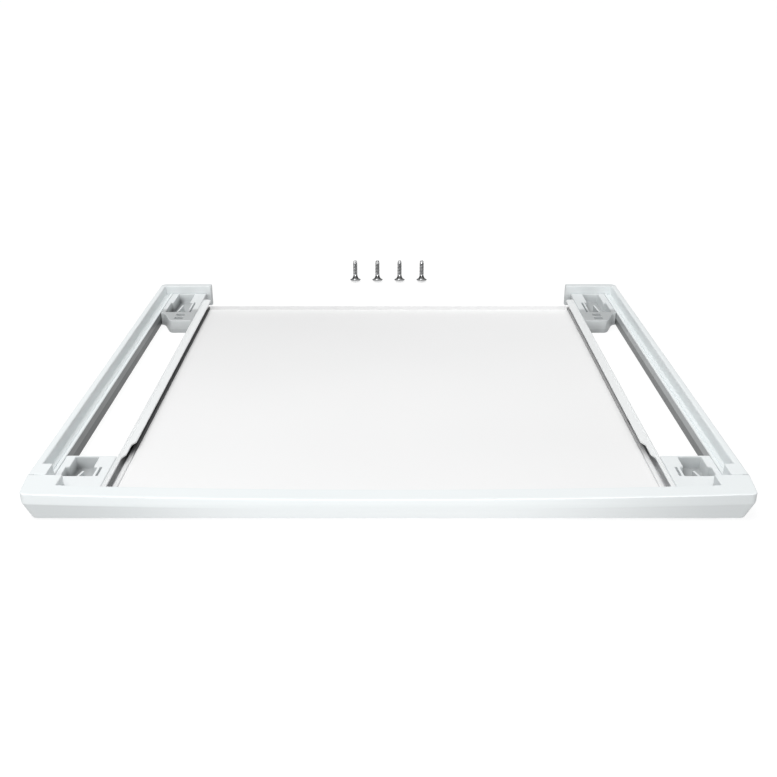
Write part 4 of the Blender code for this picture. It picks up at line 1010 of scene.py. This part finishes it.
bore, rim_edge, dish, roller_steps = 0.00155, 0.0004, 0.0004, 48
pin_radius, head_radius, face_radius, head_height = 0.00125, 0.0020, 0.0016, 0.0004
for name, side in sides:
    for end in ends:
        low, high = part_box(f"{name}_{end}_roller")
        breadth, radius = high.x - low.x, (high.z - low.z) / 2
        half = breadth / 2
        rim = radius - rim_edge
        face = [
            (bore, half),
            (bore + 0.0007, half),
            (bore + 0.0009, half - dish),
            (rim - 0.0007, half - dish),
            (rim - 0.0005, half),
            (rim, half),
            (radius, half - 0.0005),
        ]
        profile = [(out, -up) for out, up in face] + face[::-1]
        mesh = form([circle(out, up, roller_steps) for out, up in profile], hoop=True)
        piece = link(f"{name}_{end}_nylon_roller", on_its_side(mesh, (low + high) / 2))
        piece.data.materials.append(white_nylon)
        soften(piece)
        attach(piece, f"{name}_{end}_roller")
        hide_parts(f"{name}_{end}_roller")

        pin_low, pin_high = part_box(f"{name}_{end}_roller_axle")
        pin_length = pin_high.x - pin_low.x
        pin = [(0, 0), (face_radius, 0), (head_radius, 0.0001)]
        pin += [(head_radius, head_height), (pin_radius, head_height)]
        if end == "front":
            collar = breadth + 0.0012
            collar_end = collar + head_height
            pin += [(pin_radius, collar), (head_radius, collar), (head_radius, collar_end)]
            pin += [(pin_radius, collar_end), (pin_radius, pin_length - 0.0002)]
            pin += [(0.0010, pin_length), (0, pin_length)]
        else:
            head = pin_length - head_height
            pin += [(pin_radius, head), (head_radius, head), (head_radius, pin_length - 0.0001)]
            pin += [(face_radius, pin_length), (0, pin_length)]
        pin_place = foot_of(f"{name}_{end}_roller_axle", side)
        piece = link(f"{name}_{end}_pin", on_its_side(turned(pin), pin_place, side))
        piece.data.materials.append(zinc_plate)
        soften(piece)
        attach(piece, "root" if end == "front" else "drawer")
        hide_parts(f"{name}_{end}_roller_axle")

# Shelf panel. One sheet of steel, folded down along both sides and up into a low lip at the
# back, and painted white. Its front edge slips under the land of the bar.
shelf_low, shelf_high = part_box("shelf_panel")
shelf_front, shelf_rear = shelf_low.y - bar_front, shelf_high.y - bar_front
shelf_half = shelf_high.x
shelf_top = 0.010
sheet = 0.0012
flange_foot = shelf_low.z
lip_inset = 0.0016

painted = Finish("painted_steel", Roughness=0.35, IOR=1.5)
paint_drift = painted.noise(5.0)
paint_peel = painted.noise(520.0, 2.0)
paint_dust = painted.noise(2600.0, 2.0)
paint_across, paint_along, paint_height = painted.axes()
# Painted shade: the face of the rear lip and the shelf's left rear are drawn a little darker.
lip_reach, lip_front, lip_rise = 0.2255, shelf_high.y - 0.0030, shelf_top + 0.0003
on_lip = (abs(paint_across) < lip_reach) * (paint_along > lip_front) * (paint_height > lip_rise)
far_left = (1.0 - painted.fade(paint_across, -0.24, 0.24)) * painted.fade(paint_along, -0.24, 0.20)
paint_shade = on_lip * 0.09 + far_left * 0.10
plain_paint = painted.blend(paint_drift, (0.925, 0.926, 0.926), (0.95, 0.951, 0.951))
white_paint = painted.wear(
    painted.blend(paint_shade, plain_paint, (0.02,) * 3),
    0.30 + paint_drift * 0.08 + paint_dust * 0.05,
    paint_peel + paint_dust * 0.15,
    depth=0.000018,
)

shelf_section = rounded(
    6,
    (-shelf_half, flange_foot, 0),
    (-shelf_half + sheet, flange_foot, 0),
    (-shelf_half + sheet, shelf_top - sheet, 0.0004),
    (shelf_half - sheet, shelf_top - sheet, 0.0004),
    (shelf_half - sheet, flange_foot, 0),
    (shelf_half, flange_foot, 0),
    (shelf_half, shelf_top, 0.0015),
    (-shelf_half, shelf_top, 0.0015),
)
shelf = link("shelf", drawn(shelf_section, shelf_front, shelf_rear - sheet / 2, "Y"))
lip_foot = shelf_top - sheet + 0.0001
lip_profile = rounded(
    5,
    (shelf_rear - sheet, lip_foot, 0),
    (shelf_rear, lip_foot, 0.0010),
    (shelf_rear, shelf_high.z, 0.0005),
    (shelf_rear - sheet, shelf_high.z, 0.0005),
)
lip_half = shelf_half - lip_inset
carve(shelf, "UNION", drawn(lip_profile, -lip_half, lip_half, "X"))
relief_half = 0.0035
relief = [
    block(
        (side * shelf_half - relief_half, shelf_front - overrun, flange_foot - overrun),
        (side * shelf_half + relief_half, bar_clear, shelf_top - sheet),
    )
    for _, side in sides
]
carve(shelf, "DIFFERENCE", joined(relief))
merge_flats(shelf.data)
piece = soften(stand(shelf, "painted_shelf", white_paint))
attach(piece, "drawer")
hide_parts("shelf_panel")
bpy.data.objects.remove(shelf)

# Runners. A dark steel angle is riveted along each side of the shelf. Its top flange slides in
# the guide, and its rear end carries the rear roller.
runner = Finish("dark_runner", Metallic=0.1, Roughness=0.5)
runner_film = runner.noise(200.0, 5.0, (1, 0.08, 1))
runner_grain = runner.noise(1800.0, 2.0)
runner_across, runner_along, _ = runner.axes()
runner_low, runner_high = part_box("right_shelf_runner")
# Painted light: the runner is drawn near white at its front end, where the guide's notch lets
# light in, and its dark steel is drawn lighter on the right runner.
lit_front = 1.0 - runner.fade(runner_along, runner_low.y + 0.075, runner_low.y + 0.095)
runner_dark = runner.blend(runner_film, (0.12, 0.121, 0.123), (0.20, 0.202, 0.205))
runner_dark = runner.blend((runner_across > 0.0) * 0.50, runner_dark, (0.90,) * 3)
runner_front_light = runner.blend(runner_film, (0.86, 0.865, 0.87), (0.95, 0.955, 0.955))
dark_steel = runner.wear(
    runner.blend(lit_front, runner_dark, runner_front_light),
    0.34 + runner_film * 0.3,
    runner_grain,
    depth=0.00001,
)
runner_front, runner_end = runner_low.y - bar_front, runner_high.y - bar_front
runner_sheet = 0.0015
runner_web = runner_low.x + runner_sheet
runner_section = rounded(
    4,
    (runner_low.x, runner_low.z, 0),
    (runner_web, runner_low.z, 0),
    (runner_web, shelf_top - sheet, 0.0003),
    (runner_high.x, shelf_top - sheet, 0),
    (runner_high.x, shelf_top, 0.0003),
    (runner_low.x, shelf_top, 0.0012),
)
angle = link("angle", drawn(runner_section, runner_front, runner_end, "Y"))
flange_end = block(
    (runner_web, shelf_rear, shelf_top - sheet - overrun),
    (runner_high.x + overrun, runner_end + overrun, shelf_top + overrun),
)
carve(angle, "DIFFERENCE", flange_end)
merge_flats(angle.data)
for name, side in sides:
    piece = soften(stand(angle, f"{name}_steel_runner", dark_steel, side))
    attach(piece, "drawer")
    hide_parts(f"{name}_shelf_runner")
bpy.data.objects.remove(angle)

# Runner rivets. Three plated steel rivets on each side hold the runner to the shelf's flange,
# with a low round head on the inner side.
rivet_head, rivet_stem, head_end = 0.0018, 0.0012, 0.0007
for name, side in sides:
    names = [f"{name}_runner_rivet_{number}" for number in (1, 2, 3)]
    low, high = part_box(names[0])
    length = high.x - low.x
    profile = [(0, 0), (0.0010, 0.00008), (0.0016, 0.0003), (rivet_head, 0.0006)]
    profile += [(rivet_head, head_end), (rivet_stem, head_end), (rivet_stem, length - 0.0001)]
    profile += [(0.0010, length), (0, length)]
    rivet = link("rivet", on_its_side(turned(profile, 20), (0, 0, 0), side))
    places = [foot_of(node, side) for node in names]
    piece = set_out(f"{name}_runner_rivets", rivet, places)
    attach(piece, "drawer")
    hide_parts(*names)

# Front bar. One long white moulding is both the front of the frame and the handle of the shelf.
# Its face bows forward in the middle, and below a soft crease it is tucked back for the
# fingers. It is open underneath, with ribs, and screwed to the shelf's front edge.
bar_land = 0.0167
bar_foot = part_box("front_bar")[0].z
bar_crease = frame_top - 0.0088
bar_tuck = 0.0135
bar_bow = 0.009
end_depth = rail_front - fit_gap
end_inset = 0.003
end_taper = 0.0055
corner_radius = 0.006
top_round = 0.0011
foot_round = 0.0012
front_steps, rear_steps = 60, 40
end_softness, added_softness = 0.0011, 0.0040
crease_steps, crease_pitch, crease_reach = 6, 0.00085, 0.0062
bay_steps = 5


def bow(across):
    """How far the bar's front lies behind its middle at a place along it."""
    return bar_bow * (across / half_width) ** 2


def tuck(across, height):
    """Share of the way back to the tucked lower edge, its start softer towards the middle."""
    softness = end_softness + added_softness * (1 - (across / half_width) ** 2) ** 2
    below = bar_crease - height
    if below <= -softness:
        depth = 0
    elif below >= softness:
        depth = below
    else:
        depth = (below + softness) ** 2 / (4 * softness)
    return depth / (bar_crease - bar_foot)


def bar_outline(height):
    """The straight bar's outline at a height, with the share of the bow that each point takes."""
    right = []
    end_share = tuck(half_width, height)
    end = half_width - end_inset - end_taper * end_share
    flat_end = end - corner_radius
    for step in range(front_steps + 1):
        across = flat_end * step / front_steps
        share = tuck(across, height)
        right.append((across, bar_tuck * share, 1 - share))
    for back, short in quarter(corner_radius, 8)[1:]:
        right.append((end - short, bar_tuck * end_share + back, 1 - end_share))
    right.append((half_width, end_depth, 0))
    right.append((bar_step, end_depth, 0))
    for step in range(rear_steps, -1, -1):
        right.append((bar_step * step / rear_steps, bar_land, 1))
    left = [(-across, back, share) for across, back, share in reversed(right[1:-1])]
    return right + left


heights = [(bar_foot + up, inset) for up, inset in quarter(foot_round, 3)]
tucked_height = bar_crease - crease_reach - bar_foot
heights += [(bar_foot + tucked_height * share, 0) for share in (0.4, 0.7, 1)]
for step in range(-crease_steps, crease_steps + 1):
    heights.append((bar_crease + step * crease_pitch, 0))
heights += [(frame_top - drop, inset) for inset, drop in quarter(top_round, 5)]
rings, shares = [], []
for height, inset in heights:
    outline = bar_outline(height)
    plan = drawn_in([(across, back) for across, back, _ in outline], inset)
    rings.append([(across, back, height) for across, back in plan])
    shares += [share for _, _, share in outline]
straight = form(rings)
attribute = straight.attributes.new("bow_share", "FLOAT", "POINT")
attribute.data.foreach_set("value", shares)

bowing = Workshop("bar_bow", Bow=bar_bow, Reach=half_width)
spot = bowing.add("GeometryNodeInputPosition", {}, {})
spot = bowing.add("ShaderNodeSeparateXYZ", {}, {"Vector": spot}, "X")
stored = {"Name": "bow_share"}
share = bowing.add("GeometryNodeInputNamedAttribute", {"data_type": "FLOAT"}, stored)
reach = spot / bowing.size("Reach")
back = bowing.size("Bow") * reach * reach * share
back = bowing.add("ShaderNodeCombineXYZ", {}, {"Y": back})
sockets = {"Geometry": bowing.size("Geometry"), "Offset": back}
bowing.end(bowing.add("GeometryNodeSetPosition", {}, sockets), white_plastic)
bar = bowing.make(straight)

ledge_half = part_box("right_guide_rail")[0].x - 2 * fit_gap
ledge_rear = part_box("front_cross_tie")[0].y - bar_front - 0.001
ledge_top = shelf_top - sheet - fit_gap
ledge_under = ledge_top - wall
ledge_low = (-ledge_half, bar_tuck + wall / 2, bar_foot + 0.0005)
carve(bar, "UNION", block(ledge_low, (ledge_half, ledge_rear, ledge_top)))


def bay(low, high, ledge):
    """One hollow of the bar between two ribs, open downwards."""
    rings = []
    for step in range(bay_steps + 1):
        across = low + (high - low) * step / bay_steps
        lean = (bar_tuck - bow(across)) / (bar_crease - bar_foot)
        rear = bow(across) + bar_land - wall
        ring = [
            (across, bar_tuck + lean * (bar_foot + overrun) + wall, -overrun),
            (across, bow(across) + wall, bar_crease),
            (across, bow(across) + wall, frame_top - wall),
            (across, rear, frame_top - wall),
        ]
        if ledge:
            ring += [(across, rear, ledge_under), (across, ledge_rear - wall, ledge_under)]
            rear = ledge_rear - wall
        rings.append(ring + [(across, rear, -overrun)])
    return form(rings)


bays = []
for low, high, count, ledge in (
    (wall - ledge_half, ledge_half - wall, 8, True),
    (ledge_half, bar_step, 2, False),
    (-bar_step, -ledge_half, 2, False),
):
    width = (high - low) / count
    for number in range(count):
        start = low + number * width + wall / 2
        bays.append(bay(start, start + width - wall, ledge))
carve(bar, "DIFFERENCE", joined(bays))
end_low, end_high = bar_step + wall, half_width - end_inset - end_taper
end_hollows = [
    block((low, bar_tuck + corner_radius, -overrun), (high, end_depth - wall, frame_top - wall))
    for low, high in ((end_low, end_high), (-end_high, -end_low))
]
shelf_room = block(
    (-shelf_half - fit_gap, shelf_front - fit_gap, ledge_top),
    (shelf_half + fit_gap, ledge_rear + overrun, shelf_top + fit_gap),
)
carve(bar, "DIFFERENCE", joined(end_hollows), shelf_room)
faced = Finish("bar_white", Roughness=0.4, IOR=1.49)
face_across, _, face_height = faced.axes()
# Painted shade: the bar's front is drawn darker towards both ends and most at the right end. Below
# the crease it darkens more at the ends and less at the right.
to_end = faced.fade(abs(face_across), 0.07, 0.29)
to_right = faced.fade(face_across, 0.10, 0.29)
under_crease = 1.0 - faced.fade(face_height, bar_crease - 0.0012, bar_crease + 0.0004)
on_front = 1.0 - faced.fade(face_height, frame_top - top_round, frame_top - 0.0001)
tucked_shade = under_crease * (to_end * 0.20 - to_right * 0.12)
bar_face_shade = on_front * (to_end * 0.10 + to_right * 0.13 + tucked_shade)
bar_white = plastic_skin(faced, 1.0 - bar_face_shade, (0.25, 1, 1))
piece = soften(stand(bar, "bowed_bar", bar_white), sharp=32)
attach(piece, "drawer")
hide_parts("front_bar")
bpy.data.objects.remove(bar)

# Shelf screws. Four plated pan head screws come up from below, through the bar's ledge and the
# shelf's front edge, to just under the bar's land. The bosses around their tips are left out here.
names = [f"shelf_screw_{number}" for number in (1, 2, 3, 4)]
low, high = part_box(names[0])
length = high.z - low.z
pan_radius, pan_height = 0.0026, 0.0016
crest, core = 0.0014, 0.00115
thread_start, thread_pitch, thread_turns = 0.0030, 0.0007, 13
profile = [(0, 0), (0.0013, 0), (0.0021, 0.0003), (pan_radius, 0.0009)]
profile += [(pan_radius, pan_height), (crest, pan_height)]
for turn in range(thread_turns):
    foot = thread_start + turn * thread_pitch
    profile += [(core, foot), (crest, foot + 0.00025), (core, foot + 0.0005)]
profile += [(0.0009, length - 0.0008), (0, length)]
screw = link("pan_head_screw", turned(profile, 24))
carve(screw, "DIFFERENCE", *cross_recess(size=0.0013, depth=0.0011))
piece = set_out("shelf_screws", screw, [foot_of(node) for node in names], Seed=8)
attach(piece, "drawer")
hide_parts(*names)

# Loose screws. Four self-tapping screws of plated steel belong to the frame and stand on their
# wide pan heads behind it. A coarse thread runs up the blunt shank.
bright = Finish("bright_plate", Metallic=1.0, Roughness=0.15)
bright_haze = bright.noise(500.0, 3.0)
bright_lines = bright.noise(2200.0, 2.0, (0.1, 0.1, 1))
bright_face = bright.blend(bright_haze, (0.48, 0.485, 0.49), (0.90, 0.905, 0.91))
low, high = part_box("loose_screw_1")
screw_height = high.z - low.z
screw_row = (low.y + high.y) / 2
screw_spacing = 0.0313
core, crest = 0.0027, 0.0033
flare_foot, flare_end = 0.0035, 0.0100
thread_start, thread_turns = 0.0102, 8.0
tip_start, tip_thread = screw_height - 0.0042, 0.0031
bright_across, bright_along, bright_height = bright.axes()
in_row = bright_across / screw_spacing
from_axis = (in_row.math("FRACT", in_row) - 0.5) * screw_spacing
from_row = bright_along - screw_row
out_from_axis = (from_axis * from_axis + from_row * from_row) ** 0.5
# Painted shade and reflection: the thread's grooves are drawn near black, and the head's flare
# half dark as a painted dark reflection.
groove_and_flare_shade = 1.0 - bright.fade(out_from_axis, core - 0.0002, crest)
groove_and_flare_shade = groove_and_flare_shade * (bright_height > flare_end) * (bright_height < tip_start + 0.0006)
flare_reflection = (bright_height > flare_foot) * (bright_height < flare_end) * 0.55
groove_and_flare_shade = groove_and_flare_shade.math("MAXIMUM", groove_and_flare_shade, flare_reflection)
bright_zinc = bright.wear(
    bright.blend(groove_and_flare_shade, bright_face, (0.025, 0.026, 0.028)),
    0.07 + bright_haze * 0.10 + bright_lines * 0.05,
    bright_lines,
    depth=0.00001,
)
profile = [
    (0, 0),
    (0.0030, 0.0001),
    (0.0048, 0.0006),
    (0.0062, 0.0014),
    (0.0070, 0.0023),
    (0.0073, 0.0030),
    (0.0073, 0.0034),
    (0.0069, 0.0037),
    (0.0056, 0.0042),
    (0.0047, 0.0051),
    (0.0040, 0.0064),
    (0.0035, 0.0080),
    (0.0030, 0.0101),
    (core, 0.0122),
    (core, tip_start),
    (0.0021, screw_height - 0.0011),
    (0.0015, screw_height - 0.0003),
    (0, screw_height),
]
shank = link("shank", turned(profile, 40))
carve(shank, "DIFFERENCE", *cross_recess(size=0.0034, depth=0.0022))
thread = Workshop(
    "loose_screws",
    Count=4,
    First=((low.x + high.x) / 2, screw_row, low.z),
    Pitch=(screw_spacing, 0.0, 0.0),
    Turns=thread_turns,
    Core=core,
    Depth=crest - core,
    Start=thread_start,
    Length=tip_start - thread_start,
    Tip=tip_thread,
    Plating=bright_zinc,
    Seed=5,
)
start, length, core_radius = [thread.size(name) for name in ("Start", "Length", "Core")]
slope = thread.size("Depth") * 0.8
sockets = {"Width": thread.size("Depth") * 2, "Bottom Height": slope, "Top Height": slope}
ridge = thread.add("GeometryNodeCurvePrimitiveQuadrilateral", {"mode": "KITE"}, sockets)
whole = thread.tree.nodes.new("GeometryNodeJoinGeometry")
parts = [thread.size("Geometry")]
for foot, rise, turns, end_radius in (
    (start, length, thread.size("Turns"), core_radius),
    (start + length, thread.size("Tip"), 2.0, core_radius * 0.78),
):
    sockets = {"Resolution": 20, "Rotations": turns, "Height": rise}
    sockets.update({"Start Radius": core_radius, "End Radius": end_radius})
    coil = thread.add("GeometryNodeCurveSpiral", {}, sockets)
    coil = thread.add("GeometryNodeSetCurveNormal", {"mode": "Z_UP"}, {"Curve": coil})
    sockets = {"Curve": coil, "Profile Curve": ridge, "Fill Caps": True}
    coil = thread.add("GeometryNodeCurveToMesh", {}, sockets)
    lift = thread.add("ShaderNodeCombineXYZ", {}, {"Z": foot})
    parts.append(thread.add("GeometryNodeTransform", {}, {"Geometry": coil, "Translation": lift}))
for part in parts:
    thread.tree.links.new(part.socket, whole.inputs[0])
thread.repeat(thread.row(), Value(thread, whole.outputs[0]), thread.size("Plating"))
piece = shade_round(thread.make(shank.data), sharp=40)
piece.name = "standing_screws"
bpy.data.objects.remove(shank)
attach(piece, "root")
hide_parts(*[f"loose_screw_{number}" for number in (1, 2, 3, 4)])

# Studio. The frame lies on a plain pale floor in wide soft light, with a long low lamp far in
# front and a square one above to the left. The camera looks down from the middle of its front.
floor_half = 60.0
floor = link("floor", block((-floor_half, -floor_half, -0.01), (floor_half, floor_half, 0)))
ground = Finish("floor", Roughness=0.8, Emission_Color=(1, 1, 1, 1), Emission_Strength=0.84)
floor.data.materials.append(ground.wear(ground.blend(ground.noise(0.7), (0.19,) * 3, (0.21,) * 3)))
floor.visible_diffuse = False
floor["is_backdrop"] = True

world = bpy.data.worlds.new("studio")
bpy.context.scene.world = world
world.use_nodes = True
air = Recipe(world.node_tree)
direction = air.add("ShaderNodeTexCoord", {}, {}, "Generated")
parts = air.add("ShaderNodeSeparateXYZ", {}, {"Vector": direction}).socket.node.outputs
aside, ahead, up = [Value(air, socket) for socket in parts]
above = up.math("SMOOTH_MAX", up, 0.0, 0.1)
from_front = ahead.math("SMOOTH_MAX", 0.0 - ahead, 0.0, 0.2)
flag = 1.0 - aside * aside * 0.75
below = up.math("SMOOTH_MAX", 0.0 - up, 0.0, 0.1)
strength = (0.07 + above * 1.05 + from_front * 0.05 + below * below * 1.7) * flag
seen = air.add("ShaderNodeLightPath", {}, {}, "Is Camera Ray")
background = world.node_tree.nodes["Background"]
background.inputs["Color"].default_value = (1.0, 1.0, 1.0, 1.0)
air.feed(background.inputs["Strength"], strength + seen * (1.0 - strength))

for name, place, aim, size, watts in (
    ("front_lamp", (-0.2, -1.9, 0.13), (0.0, -0.3, 0.01), (1.2, 0.22), 15.0),
    ("top_lamp", (-0.7, -0.6, 2.1), (0.0, -0.2, 0.0), (1.6, 1.6), 22.0),
):
    light = bpy.data.lights.new(name, "AREA")
    light.shape = "RECTANGLE"
    light.size, light.size_y = size
    light.energy = watts
    lamp = bpy.data.objects.new(name, light)
    lamp.location = place
    lamp.rotation_euler = (Vector(aim) - Vector(place)).to_track_quat("-Z", "Y").to_euler()
    bpy.context.scene.collection.objects.link(lamp)

camera = bpy.data.cameras.new("camera")
camera.sensor_width = 36
camera.lens = 45
view = bpy.data.objects.new("camera", camera)
view.location = (0, -1.00035, 0.414)
view.rotation_euler = (math.radians(66.4), 0, 0)
bpy.context.scene.collection.objects.link(view)
bpy.context.scene.camera = view
bpy.context.scene.view_settings.view_transform = "Standard"

low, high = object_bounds()
